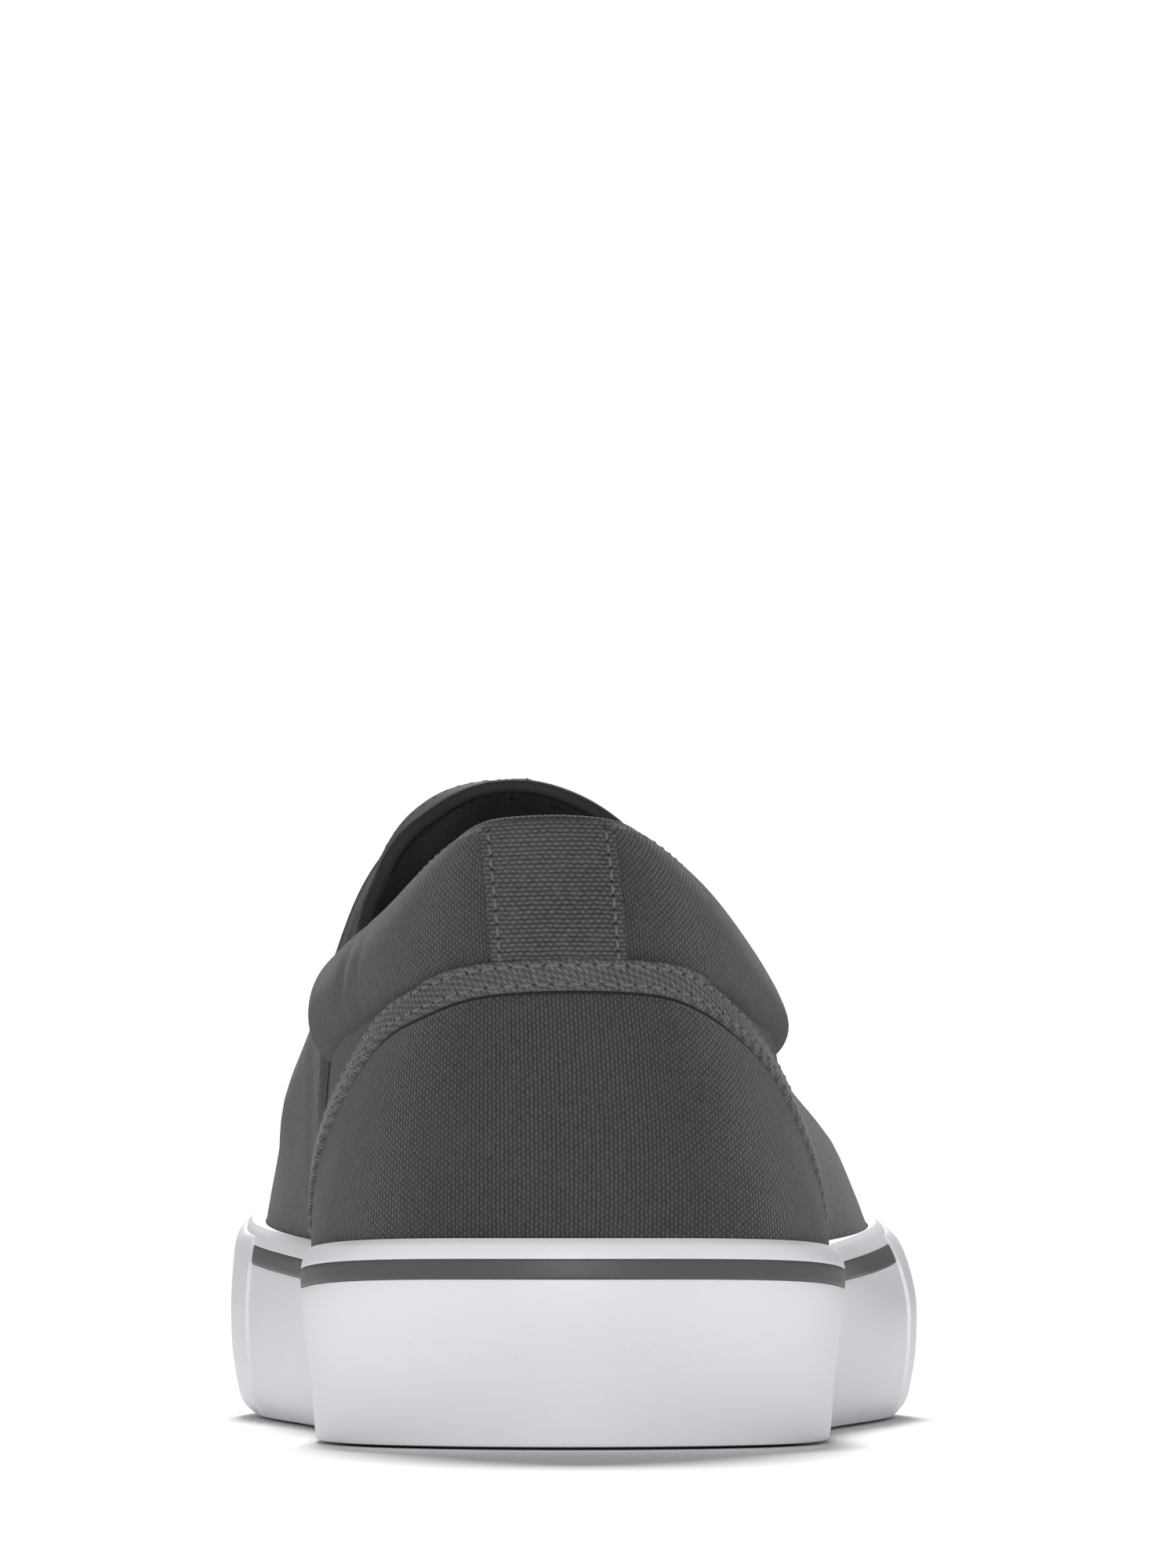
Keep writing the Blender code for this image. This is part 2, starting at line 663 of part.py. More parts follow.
def outsole():
    """Dark tread plate let into the white rubber, with a rim and rows of lugs."""
    q = round_the_shoe()
    y = outline(q)[:, 1]
    edge = foot_inset(q) + TREAD_INSET + GAP
    lift = arch(y)
    count = len(q)
    rings = [
        sole_ring(q, LUG_DEPTH + lift, edge + TREAD_BORDER),
        sole_ring(q, lift, edge + TREAD_BORDER - LUG_GROOVE / 2),
        sole_ring(q, lift, edge + 0.5),
        sole_ring(q, lift + 0.5, edge),
        sole_ring(q, TREAD - GAP + lift, edge),
    ]
    points = [p for ring in rings for p in ring]
    faces = []
    for r in range(len(rings) - 1):
        for k in range(count):
            n = (k + 1) % count
            faces.append((r * count + k, r * count + n, (r + 1) * count + n, (r + 1) * count + k))
    faces += rungs(count, lambda k: (len(rings) - 1) * count + k, up=True)
    # rungs across the ground between the lugs, far enough apart for a lug
    pairs = ladder(count)
    kept = [0]
    for i in range(1, len(pairs) - 1):
        run = rings[0][pairs[i][0]][1] - rings[0][pairs[kept[-1]][0]][1]
        left = rings[0][pairs[-1][0]][1] - rings[0][pairs[i][0]][1]
        if run > LUG_PITCH and left > LUG_PITCH:
            kept.append(i)
    kept.append(len(pairs) - 1)
    inner_points = {}
    for i in kept[1:-1]:
        a, b = pairs[i]
        inner_points[i] = [a]
        for c in range(1, LUG_COLUMNS):
            points.append(rings[0][a] + (rings[0][b] - rings[0][a]) * c / LUG_COLUMNS)
            inner_points[i].append(len(points) - 1)
        inner_points[i].append(b)
    lug_faces = []
    for low, high in zip(kept, kept[1:]):
        outer_side = [pairs[i][0] for i in range(low, high + 1)]
        inner_side = [pairs[i][1] for i in range(low, high + 1)]
        if low == 0 or high == kept[-1]:
            rung = inner_points[high if low == 0 else low]
            loop = outer_side + inner_side[::-1]
            # the plain ends of the tread, closed against the first or last rung
            between = rung[1:-1]
            at = loop.index(rung[0]) if low == 0 else loop.index(rung[-1])
            fill = between if low == 0 else between[::-1]
            loop = loop[:at + 1] + fill + loop[at + 1:]
            faces.append(list(dict.fromkeys(loop)))
            continue
        near, far = inner_points[low], inner_points[high]
        for c in range(LUG_COLUMNS):
            face = [near[c], near[c + 1], far[c + 1], far[c]]
            if c == 0:
                face = [near[0], near[1], far[1]] + outer_side[:0:-1]
            if c == LUG_COLUMNS - 1:
                face = [near[c]] + inner_side + [far[c]]
            lug_faces.append(len(faces))
            faces.append(face)
    mesh = mesh_of("outsole", points, faces)
    shape = bmesh.new()
    shape.from_mesh(mesh)
    shape.faces.ensure_lookup_table()
    lugs = [shape.faces[i] for i in lug_faces]
    bmesh.ops.recalc_face_normals(shape, faces=shape.faces)
    bmesh.ops.inset_individual(
        shape, faces=lugs, thickness=LUG_GROOVE / 2 * 0.001, depth=LUG_DEPTH * 0.001, use_even_offset=True)
    shape.to_mesh(mesh)
    shape.free()
    return add_object("outsole", mesh, TREAD_RUBBER)


def insole():
    """The sock that the foot rests on."""
    q = round_the_shoe()
    y = outline(q, SIDEWALL)[:, 1]
    rings = []
    for share, draw in ((0.0, 1.2), (0.35, 0.3), (0.9, 0.3), (1.0, 1.2)):
        height = bed(y) + GAP + INSOLE * share
        t = rib_at_height(q, height)
        ring = upper_inside(q, t) - normals(q, t) * (GAP + draw)
        ring[:, 2] = height + (GAP if share == 0.0 else 0.0)
        rings.append(ring)
    return ring_solid("insole", FOOTBED, rings)


def gore_cells(q, rows):
    """The grid cells on both sides that the elastic fills."""
    low, high = GORE_SPAN
    u = abs(q)
    nxt = abs(np.roll(q, -1))
    between = (np.minimum(u, nxt) > low - 1e-6) & (np.maximum(u, nxt) < high + 1e-6)
    cells = np.zeros((len(q), rows - 1), bool)
    cells[between, GORE_ROW:] = True
    return cells


def upper():
    """Canvas and lining in one wall, open at the collar, underneath and at the two gores."""
    q = round_the_shoe()
    qs, ts = rows_of(q)
    outside = on_grid(upper_outside, qs, ts)
    inside = on_grid(upper_inside, qs, ts)
    inside[:, 0, 2] = outside[:, 0, 2]
    cells = ~gore_cells(q, qs.shape[1])
    nxt = abs(np.roll(q, -1))
    open_top = np.maximum(abs(q), nxt) < THROAT + 1e-6
    return shell("upper", CANVAS, outside, inside, cells, closed=True, open_top=open_top)


def gore(name, side):
    """The elastic that fills one notch of the upper, a little below the canvas."""
    u = rib_places()
    low, high = GORE_SPAN
    u = u[(u > low - 1e-6) & (u < high + 1e-6)]
    qs, ts = rows_of(side * u)
    qs, ts = qs[:, GORE_ROW:].copy(), ts[:, GORE_ROW:].copy()
    run = np.linalg.norm(last(qs[-1], ts[-1]) - last(qs[0], ts[0]), axis=1)
    for column, sign in ((0, 1), (-1, -1)):
        qs[column] += sign * (qs[-1] - qs[0]) * GAP / run
    ts[:, 0] += (ts[:, 1] - ts[:, 0]) * 0.08
    middle = -(WALL - GORE) / 2 + np.zeros(qs.shape)
    outside = on_grid(last, qs, ts) + on_grid(normals, qs, ts) * middle[..., None]
    inside = outside - on_grid(normals, qs, ts) * GORE
    cells = np.ones((len(u) - 1, qs.shape[1] - 1), bool)
    if side < 0:
        outside, inside = outside[::-1], inside[::-1]
    return shell(name, ELASTIC, outside, inside, cells, closed=False)


def panel_places():
    """q of the heel panel's columns, which its tape follows."""
    return np.linspace(-COUNTER_END, COUNTER_END, 33)


def panel_foot(q, clearance=GAP):
    """t on the upper a clearance above the sidewall's top."""
    y = outline(q)[:, 1]
    return rib_at_height(q, rim(y) + spring(y) + clearance)


def panel_edge(q):
    """t of the heel panel's upper edge."""
    return np.maximum(rib_at_height(q, line_height(3, q)), panel_foot(q, 4 * GAP))


def heel_counter():
    """The canvas panel round the heel, on the upper and standing on the sidewall."""
    q = panel_places()
    y = outline(q)[:, 1]
    foot = panel_foot(q)
    top = panel_edge(q)
    rows = np.linspace(0, 1, 7)
    ts = foot[:, None] + (top - foot)[:, None] * rows
    qs = np.repeat(q[:, None], len(rows), axis=1)
    outside = on_grid(upper_outside, qs, ts, GAP + COUNTER)
    inside = on_grid(upper_outside, qs, ts, GAP)
    for face in (outside, inside):
        face[:, 0, 2] = rim(y) + spring(y) + GAP
    cells = np.ones((len(q) - 1, len(rows) - 1), bool)
    return shell("heel_counter", CANVAS, outside, inside, cells, closed=False)


def step_off(q, t, along_q, along_t, distance):
    """Moves places on the last square to a line's direction by a distance in millimetres."""
    d = 0.003
    by_q = (last(q + d, t) - last(q - d, t)) / (2 * d)
    by_t = (last(q, t + d) - last(q, t - d)) / (2 * d)
    direction = by_q * along_q[:, None] + by_t * along_t[:, None]
    direction /= np.linalg.norm(direction, axis=1)[:, None]
    square = np.cross(normals(q, t), direction)
    ee = np.sum(by_q * by_q, axis=1)
    ff = np.sum(by_q * by_t, axis=1)
    gg = np.sum(by_t * by_t, axis=1)
    a = np.sum(square * by_q, axis=1)
    b = np.sum(square * by_t, axis=1)
    scale = distance / (ee * gg - ff ** 2)
    return q + (a * gg - b * ff) * scale, t + (b * ee - a * ff) * scale


def counter_tape():
    """The folded tape that runs over the heel panel's upper edge, from sole to sole."""
    q = panel_places()
    t = panel_edge(q)
    along_q, along_t = np.gradient(q), np.gradient(t)
    outside, inside = [], []
    for across, thick in ((0.0, 0.6), (0.18, 1.0), (0.5, 0.92), (0.82, 1.0), (1.0, 0.6)):
        qq, tt = step_off(q, t, along_q, along_t, GAP + TAPE_WIDTH * across)
        tt = np.maximum(tt, panel_foot(qq))
        outside.append(upper_outside(qq, tt, GAP + TAPE * thick))
        inside.append(upper_outside(qq, tt, GAP))
    outside = np.array(outside).transpose(1, 0, 2)
    inside = np.array(inside).transpose(1, 0, 2)
    cells = np.ones((len(q) - 1, 4), bool)
    return shell("counter_tape", TAPE_CLOTH, outside, inside, cells, closed=False)


def heel_strip():
    """Webbing up the back of the padded collar."""
    shares = np.linspace(0.06, 0.97, 8)
    across = np.linspace(-0.5, 0.5, 7)
    zero = np.zeros(1)
    low, high = float(seam_t(zero)[0]), float(collar_t(zero)[0])
    qs = np.zeros((len(across), len(shares)))
    ts = np.zeros_like(qs)
    for j, share in enumerate(shares):
        level = low + (high - low) * share
        d = 0.004
        ends = upper_outside(np.array([-d, d]), np.array([level, level]))
        speed = np.linalg.norm(ends[1] - ends[0]) / (2 * d)
        qs[:, j] = across * STRIP_WIDTH / speed
        heights = line_height(2, qs[:, j]) * (1 - share) + line_height(1, qs[:, j]) * share
        ts[:, j] = rib_at_height(qs[:, j], heights)
    outside = on_grid(upper_outside, qs, ts, GAP + STRIP)
    inside = on_grid(upper_outside, qs, ts, GAP)
    cells = np.ones((len(across) - 1, len(shares) - 1), bool)
    return shell("heel_strip", TAPE_CLOTH, outside, inside, cells, closed=False)


def build():
    for old in list(bpy.data.objects):
        bpy.data.objects.remove(old)
    outsole()
    midsole()
    foxing_stripe()
    toe_bumper()
    insole()
    upper()
    gore("gore_outer", 1.0)
    gore("gore_inner", -1.0)
    heel_counter()
    counter_tape()
    heel_strip()


build()
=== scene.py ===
# %% [markdown]
# # A canvas slip-on, seen from behind
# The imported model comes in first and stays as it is. It fixes where everything sits: +Y runs from
# heel to toe, +X to the outer side, +Z up, and the floor is z = 0. Each dressed piece below
# is a finer version of one of its solids, and stands exactly in its place.

# %% Load the frame
import math

import bmesh
import bpy
import numpy as np
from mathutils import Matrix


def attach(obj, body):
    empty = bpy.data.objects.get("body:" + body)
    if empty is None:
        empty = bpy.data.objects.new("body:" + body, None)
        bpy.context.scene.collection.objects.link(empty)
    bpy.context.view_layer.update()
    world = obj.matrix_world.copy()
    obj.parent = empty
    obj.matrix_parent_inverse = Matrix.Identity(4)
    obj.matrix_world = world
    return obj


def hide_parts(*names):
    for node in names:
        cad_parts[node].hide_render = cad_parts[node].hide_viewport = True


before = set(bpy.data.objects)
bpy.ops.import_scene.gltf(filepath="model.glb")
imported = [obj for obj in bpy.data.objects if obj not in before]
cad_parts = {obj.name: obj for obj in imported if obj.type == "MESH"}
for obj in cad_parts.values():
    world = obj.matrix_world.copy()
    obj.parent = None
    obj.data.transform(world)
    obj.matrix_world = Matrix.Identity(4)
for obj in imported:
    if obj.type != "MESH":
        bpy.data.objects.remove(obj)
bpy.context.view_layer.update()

# %% [markdown]
# ## The camera
# The photograph was taken with a long lens from straight behind the heel, only 43 mm above the
# floor. A long lens hardly makes far things smaller, so the forefoot still looks wider than the
# heel. Aiming the camera up a little puts the shoe low in the frame; a lens shift would do the
# same, but it would stay on when the camera is moved to another side.

# %% Camera
EYE = (0.0024, -1.699, 0.043)
LENS = 243.4                     # mm, on a 36 mm long side
TILT_UP = math.radians(2.01)

eye = bpy.data.cameras.new("eye")
eye.lens = LENS
eye.sensor_fit = "AUTO"
eye.sensor_width = 36.0
eye.clip_start, eye.clip_end = 0.05, 50.0
camera = bpy.data.objects.new("camera", eye)
camera.location = EYE
camera.rotation_euler = (math.radians(90) + TILT_UP, 0.0, 0.0)
bpy.context.scene.collection.objects.link(camera)
bpy.context.scene.camera = camera
print("camera", EYE, "lens", LENS)

# %% [markdown]
# ## Named sizes
# A shoe is made round a last, so the sizes are those a last maker would give, in millimetres.
# The tables hold shares of them, so one number moves a whole line of the shoe.

# %% Sizes and tables
LENGTH, BALL_WIDTH = 300.0, 113.5
INSTEP_HEIGHT, HEEL_HEIGHT, SOLE_HEIGHT = 102.0, 93.0, 31.0
BED_HEEL, BED_BALL = 17.0, 12.5
TOE_SPRING, SPRING_START = 13.0, 0.62
ARCH_LIFT, ARCH_SPAN = 1.5, (0.35, 0.53)
SIDEWALL = 4.0
STRIPE_HEIGHT, STRIPE_DROP, STRIPE_DEPTH = 2.95, 3.05, 1.1
BUMPER, BUMPER_START, BUMPER_DROP = 1.5, 0.60, 1.6
TREAD, LUG_DEPTH, TREAD_SHOWS, TREAD_INSET, TREAD_BORDER = 4.0, 1.8, 0.45, 3.2, 7.0
INSOLE = 4.0
WALL, EDGE, PAD_OUT, PAD_IN = 2.2, 1.5, 4.4, 3.6
COUNTER, TAPE, TAPE_WIDTH, STRIP, STRIP_WIDTH, GORE = 1.1, 1.7, 4.6, 0.9, 20.0, 1.3
GAP = 0.3
THROAT, GORE_SPAN, GORE_FLARE = 0.40, (0.325, 0.380), 0.35
COUNTER_END, FOREFOOT_SEAM = 0.242, 0.62

# The sole's outline from the heel round the outer side: share of the length, of the width
OUTLINE = (
    (0.000, 0.000), (0.042, 0.266), (0.130, 0.366), (0.320, 0.374), (0.480, 0.436),
    (0.655, 0.500), (0.780, 0.462), (0.890, 0.338), (0.968, 0.158), (1.000, -0.080),
    (0.968, -0.300), (0.890, -0.424), (0.795, -0.482), (0.700, -0.500), (0.560, -0.458),
    (0.390, -0.380), (0.260, -0.361), (0.130, -0.364), (0.042, -0.262),
)
TOE_ROW = 9

# Top of the sidewall: share of the length, of the sole height
RIM = ((0.00, 1.000), (0.06, 0.985), (0.14, 0.945), (0.30, 0.940), (0.50, 0.980), (0.68, 1.040),
       (0.85, 1.080), (1.00, 1.090))

# Sidewall's section: share of its height, and how far it draws in at the heel and at the ball
SIDEWALL_SECTION = (
    (0.03, 0.074, 0.072), (0.07, 0.069, 0.058), (0.19, 0.060, 0.030), (0.36, 0.046, 0.006),
    (0.56, 0.022, 0.000), (0.77, 0.000, 0.012), (0.89, 0.000, 0.026), (0.97, 0.018, 0.042),
    (1.00, 0.042, 0.064),
)
SECTION_BLEND = (0.28, 0.55)
# The outer ball leans in towards its rim: millimetres, where on the length it comes and goes
OUTER_LEAN, LEAN_COMES, LEAN_GOES = 3.4, (0.36, 0.60), (0.78, 0.94)

# Ridge of the last: share of the length, of the width, of the instep height
RIDGE = (
    (0.045, -0.095, 1.240), (0.160, -0.080, 1.275), (0.270, -0.086, 1.235),
    (0.335, -0.088, 1.125), (0.400, -0.083, 1.000), (0.480, -0.080, 0.868),
    (0.570, -0.074, 0.752), (0.660, -0.066, 0.664), (0.750, -0.062, 0.602),
    (0.830, -0.066, 0.560), (0.880, -0.072, 0.530),
)

# Ribs of the last: |q|, place on the ridge, then outer and inner rise, belly and shoulder
RIBS = (
    (0.00, 0.045, 0.33, 0.33, 0.36, 0.36, 0.60, 0.60),
    (0.10, 0.094, 0.30, 0.30, 0.17, 0.22, 0.27, 0.02),
    (0.20, 0.180, 0.27, 0.29, 0.14, 0.25, 0.12, 0.10),
    (0.30, 0.290, 0.28, 0.38, 0.07, 0.24, 0.37, 0.84),
    (0.40, 0.400, 0.36, 0.56, 0.07, 0.20, 0.47, 1.06),
    (0.50, 0.505, 0.44, 0.62, 0.06, 0.14, 0.58, 0.96),
    (0.64, 0.660, 0.49, 0.64, 0.03, 0.08, 0.58, 0.76),
    (0.80, 0.795, 0.56, 0.62, 0.03, 0.06, 0.60, 0.64),
    (0.92, 0.855, 0.60, 0.62, 0.04, 0.04, 0.62, 0.62),
    (1.00, 0.880, 0.62, 0.62, 0.04, 0.04, 0.62, 0.62),
)

# Lines of the upper: |q|, then collar, padding's seam and heel panel as shares of the heel
# height, and the padding's swell
LINES = (
    (0.00, 1.000, 0.755, 0.715, 0.45), (0.04, 0.995, 0.752, 0.710, 0.50),
    (0.09, 0.948, 0.725, 0.660, 0.75), (0.12, 0.916, 0.705, 0.610, 0.90),
    (0.15, 0.884, 0.688, 0.550, 0.96), (0.19, 0.850, 0.667, 0.460, 1.00),
    (0.22, 0.828, 0.655, 0.380, 1.00), (0.25, 0.810, 0.636, 0.300, 1.00),
    (0.29, 0.790, 0.624, 0.290, 0.98), (0.32, 0.782, 0.618, 0.290, 0.52),
    (0.34, 0.784, 0.614, 0.290, 0.12), (0.36, 0.800, 0.606, 0.290, 0.00),
    (0.38, 0.860, 0.600, 0.290, 0.00), (0.39, 1.030, 0.600, 0.290, 0.00),
    (0.40, 1.097, 0.600, 0.290, 0.00),
)
print("last of", LENGTH, "mm with", len(RIBS), "ribs")

# %% [markdown]
# ## Reading the tables
# A pattern maker draws a line through a few marks with a bent batten. The same curve here is
# a cubic between two marks. Two kinds of slope are used: a smooth one for the last, and
# one that never overshoots its marks for drawn lines such as seams.

# %% Curves through marks
def smooth_slopes(x, y):
    """Slopes at the marks for which the bend is the same on both sides of each mark."""
    n, h = len(x), np.diff(x)
    rise = np.diff(y) / h
    a, b = np.eye(n), np.zeros(n)
    for i in range(1, n - 1):
        a[i, i - 1:i + 2] = h[i], 2 * (h[i - 1] + h[i]), h[i - 1]
        b[i] = 3 * (h[i] * rise[i - 1] + h[i - 1] * rise[i])
    return np.linalg.solve(a, b)


def steady_slopes(x, y):
    """Twice the product of the two neighbouring slopes over their sum, or level at a turn."""
    rise = np.diff(y) / np.diff(x)
    inner = np.zeros(len(x))
    same = rise[1:] * rise[:-1] > 0
    total = np.where(same, rise[1:] + rise[:-1], 1.0)
    inner[1:-1] = np.where(same, 2 * rise[1:] * rise[:-1] / total, 0.0)
    inner[-1] = rise[-1]
    return inner


def read(rows, column, at, slopes=smooth_slopes):
    """The cubic between the two marks beside each place, from their heights and slopes."""
    x = np.array([row[0] for row in rows], float)
    y = np.array([row[column] for row in rows], float)
    m = slopes(x, y)
    at = np.clip(np.asarray(at, float), x[0], x[-1])
    k = np.clip(np.searchsorted(x, at, side="right") - 1, 0, len(x) - 2)
    h = x[k + 1] - x[k]
    s = (at - x[k]) / h
    start = (1 + 2 * s) * (1 - s) ** 2 * y[k] + s * (1 - s) ** 2 * h * m[k]
    return start + s ** 2 * (3 - 2 * s) * y[k + 1] + s ** 2 * (s - 1) * h * m[k + 1]


def ease(x, low, high):
    """0 before low, 1 after high, and 3 s squared less 2 s cubed between."""
    s = np.clip((np.asarray(x, float) - low) / (high - low), 0.0, 1.0)
    return s * s * (3 - 2 * s)


print("rim at mid length", round(float(read(RIM, 1, 0.5)) * SOLE_HEIGHT, 2), "mm")

# %% [markdown]
# ## The outline of the sole
# Seen from above, the sole is one closed curve. It is traced once, cut at the heel and the toe
# into an outer and an inner half, and each half is measured by its own length. A place on
# it is q: 0 at the back of the heel, 1 at the toe, negative on the inner side.

# %% Outline
def trace_outline(samples=640):
    """Cubics through the outline's marks, spaced by the root of their distance, then scaled so
    that the whole curve fills the length and the width."""
    points = np.array(OUTLINE, float)
    rows = np.vstack([points] * 3 + [points[:1]])
    step = np.sqrt(np.linalg.norm(np.diff(rows * (LENGTH, BALL_WIDTH), axis=0), axis=1))
    where = np.concatenate([[0.0], np.cumsum(step)])
    count = len(points)
    heel, toe, round_again = where[count], where[count + TOE_ROW], where[2 * count]
    along, across = list(zip(where, rows[:, 0])), list(zip(where, rows[:, 1]))
    dense = {}
    for side, ends in (("outer", (heel, toe)), ("inner", (round_again, toe))):
        at = np.linspace(*ends, samples)
        dense[side] = np.column_stack([read(across, 1, at), read(along, 1, at)])
    both = np.vstack(list(dense.values()))
    low, high = both.min(0), both.max(0)
    size = np.array([BALL_WIDTH - 2 * BUMPER, LENGTH - BUMPER])
    halves = {}
    for side, xy in dense.items():
        xy = (xy - low) / (high - low) * size - (size[0] / 2, LENGTH / 2)
        run = np.concatenate([[0.0], np.cumsum(np.linalg.norm(np.diff(xy, axis=0), axis=1))])
        halves[side] = (run / run[-1], xy)
    return halves


HALVES = trace_outline()


def unit(rows):
    """Each row divided by its own length."""
    return rows / np.maximum(np.linalg.norm(rows, axis=1), 1e-9)[:, None]


def on_outline(at):
    at = (at + 1.0) % 2.0 - 1.0
    outer, inner = (np.column_stack([np.interp(abs(at), run, xy[:, i]) for i in (0, 1)])
                    for run, xy in (HALVES["outer"], HALVES["inner"]))
    return np.where(at[:, None] >= 0, outer, inner)


def outline(q, inset=0.0):
    """The place on the curve, moved inwards square to it by the inset."""
    q = np.asarray(q, float)
    tangent = unit(on_outline(q + 0.006) - on_outline(q - 0.006))
    square = np.column_stack([tangent[:, 1], -tangent[:, 0]])
    return on_outline(q) - square * np.reshape(inset, (-1, 1))


print("outline", np.round(np.ptp(outline(np.linspace(-1, 1, 721)), axis=0), 1), "mm")

# %% [markdown]
# ## Heights of the sole
# The sole lies flat from heel to ball and then springs up at the toe. The waist is a little
# hollow. The sidewall leans and bellies: at the heel it draws in towards the floor, at
# the ball it is fullest half way down.

# %% Sole heights
def along_share(y):
    return (np.asarray(y, float) + LENGTH / 2) / LENGTH


def spring(y):
    """The toe's lift, times the square of how far past the spring's start the place is."""
    return TOE_SPRING * np.clip((along_share(y) - SPRING_START) / (1 - SPRING_START), 0, None) ** 2


def arch(y):
    low, high = ARCH_SPAN
    return ARCH_LIFT * np.sin(math.pi * np.clip((along_share(y) - low) / (high - low), 0, 1)) ** 2


def bed(y):
    return BED_HEEL + (BED_BALL - BED_HEEL) * ease(along_share(y), 0.25, 0.60) + spring(y)


def rim(y):
    return SOLE_HEIGHT * read(RIM, 1, along_share(y))


def wall_inset(height_share, y):
    heel = read(SIDEWALL_SECTION, 1, height_share, steady_slopes)
    ball = read(SIDEWALL_SECTION, 2, height_share, steady_slopes)
    return SOLE_HEIGHT * (heel + (ball - heel) * ease(along_share(y), *SECTION_BLEND))


print("toe tip lifts", float(spring(LENGTH / 2)), "mm")

# %% [markdown]
# ## The last
# The last is the wooden or plastic foot that a shoe is built on. Here it is a fan of ribs.
# Each starts on the feather line, where the upper meets the sole, and climbs to a ridge over
# the foot. A rib is one cubic Bezier curve, with a handle for how it swells out first and
# one for how full its shoulder is. Every panel of the upper is this surface, moved out or in.

# %% Last
def ridge(share):
    return np.column_stack([BALL_WIDTH * read(RIDGE, 1, share), (share - 0.5) * LENGTH,
                            INSTEP_HEIGHT * read(RIDGE, 2, share)])


def by_side(outer_column, q):
    """A column of the ribs on the outer side, and the one after it on the inner side."""
    outer, inner = (read(RIBS, outer_column + i, abs(q)) for i in (0, 1))
    return np.where(q >= 0, outer, inner)[:, None]


def last(q, t):
    """Bezier curve from the feather line up by the rise, over the shoulder and onto the ridge."""
    q = (np.asarray(q, float) + 1.0) % 2.0 - 1.0
    t = np.clip(np.asarray(t, float), 0.0, 1.0)[:, None]
    foot = outline(q, SIDEWALL)
    feather = np.column_stack([foot, bed(foot[:, 1]) + GAP])
    top = ridge(read(RIBS, 1, abs(q)))
    reach, up = (feather - top) * (1.0, 1.0, 0.0), (top - feather) * (0.0, 0.0, 1.0)
    rise = feather + up * by_side(2, q) + reach * by_side(4, q)
    shoulder = top + reach * by_side(6, q)
    s = 1 - t
    return s ** 3 * feather + 3 * s ** 2 * t * rise + 3 * s * t ** 2 * shoulder + t ** 3 * top


SMALL = 0.004        # a small step in q or t


def normals(q, t):
    """Cross product of a small step round the shoe and one up the rib, turned into the ridge's
    own upright on the ridge, where both sides meet."""
    q, t = np.asarray(q, float), np.asarray(t, float)
    across = last(q + SMALL, t) - last(q - SMALL, t)
    upward = last(q, np.clip(t + SMALL, 0, 1)) - last(q, np.clip(t - SMALL, 0, 1))
    n = unit(np.cross(across, upward))
    share = read(RIBS, 1, abs(q))
    slope = ridge(share + 0.002) - ridge(share - 0.002)
    crest = unit(np.column_stack([np.zeros(len(q)), -slope[:, 2], slope[:, 1]]))
    near = np.clip((t - 0.97) / 0.03, 0, 1)[:, None]
    return unit(n * (1 - near) + crest * near)


def rib_at_height(q, height):
    """Halves the rib again and again until it is at the height."""
    low, high = np.zeros(len(q)), np.ones(len(q))
    for _ in range(26):
        middle = (low + high) / 2
        under = last(q, middle)[:, 2] < height
        low, high = np.where(under, middle, low), np.where(under, high, middle)
    return (low + high) / 2


print("heel of the last at", np.round(last(np.zeros(1), np.full(1, 0.3))[0], 1))

# %% [markdown]
# ## Collar, seam and padding
# The collar's edge and the seam under its padding are lines on the last. Their places are
# worked out once for many ribs and then only looked up. The padding is foam between canvas
# and lining: it swells like half an ellipse from the seam to the edge. A shoe just out of its
# box has few creases, so they are a dozen soft troughs and fuller places.

# %% Upper surface
def line_height(column, q):
    return HEEL_HEIGHT * read(LINES, column, abs(np.asarray(q, float)), steady_slopes)


TURN = 0.6           # the turned edge stands this far above the line
# How far the panel's edge lies off the table on each side: q, millimetres
PANEL_TRIM = (
    (-0.300, 0.0), (-0.242, 0.0), (-0.210, 1.2), (-0.180, 1.9), (-0.155, 2.2), (-0.132, 3.0),
    (-0.110, 2.4), (-0.090, 0.9), (-0.060, 0.2), (0.000, 0.4), (0.100, 0.3), (0.130, 1.1),
    (0.150, 0.0), (0.170, -1.0), (0.190, -2.4), (0.215, -1.8), (0.242, 0.0), (0.300, 0.0),
)
BATTEN = 60          # places on the line that the batten reaches over on either side
FRONT = 60           # marks on each side in front of the throat
LINE_Q = np.linspace(-0.41, 0.41, 1641)
MARKS = np.concatenate([np.linspace(-1, -0.42, FRONT), LINE_Q, np.linspace(0.42, 1, FRONT)])


def eased_line(heights, spread=0.010):
    """A line averaged with its neighbours by a bell, as a bent batten would smooth it."""
    step = LINE_Q[1] - LINE_Q[0]
    bell = np.exp(-(np.arange(-BATTEN, BATTEN + 1) * step / spread) ** 2)
    longer = np.pad(heights, BATTEN, mode="edge")
    smooth = np.convolve(longer, bell / bell.sum(), mode="valid")
    keep = ease(abs(LINE_Q), 0.29, 0.32)
    return heights * keep + smooth * (1 - keep)


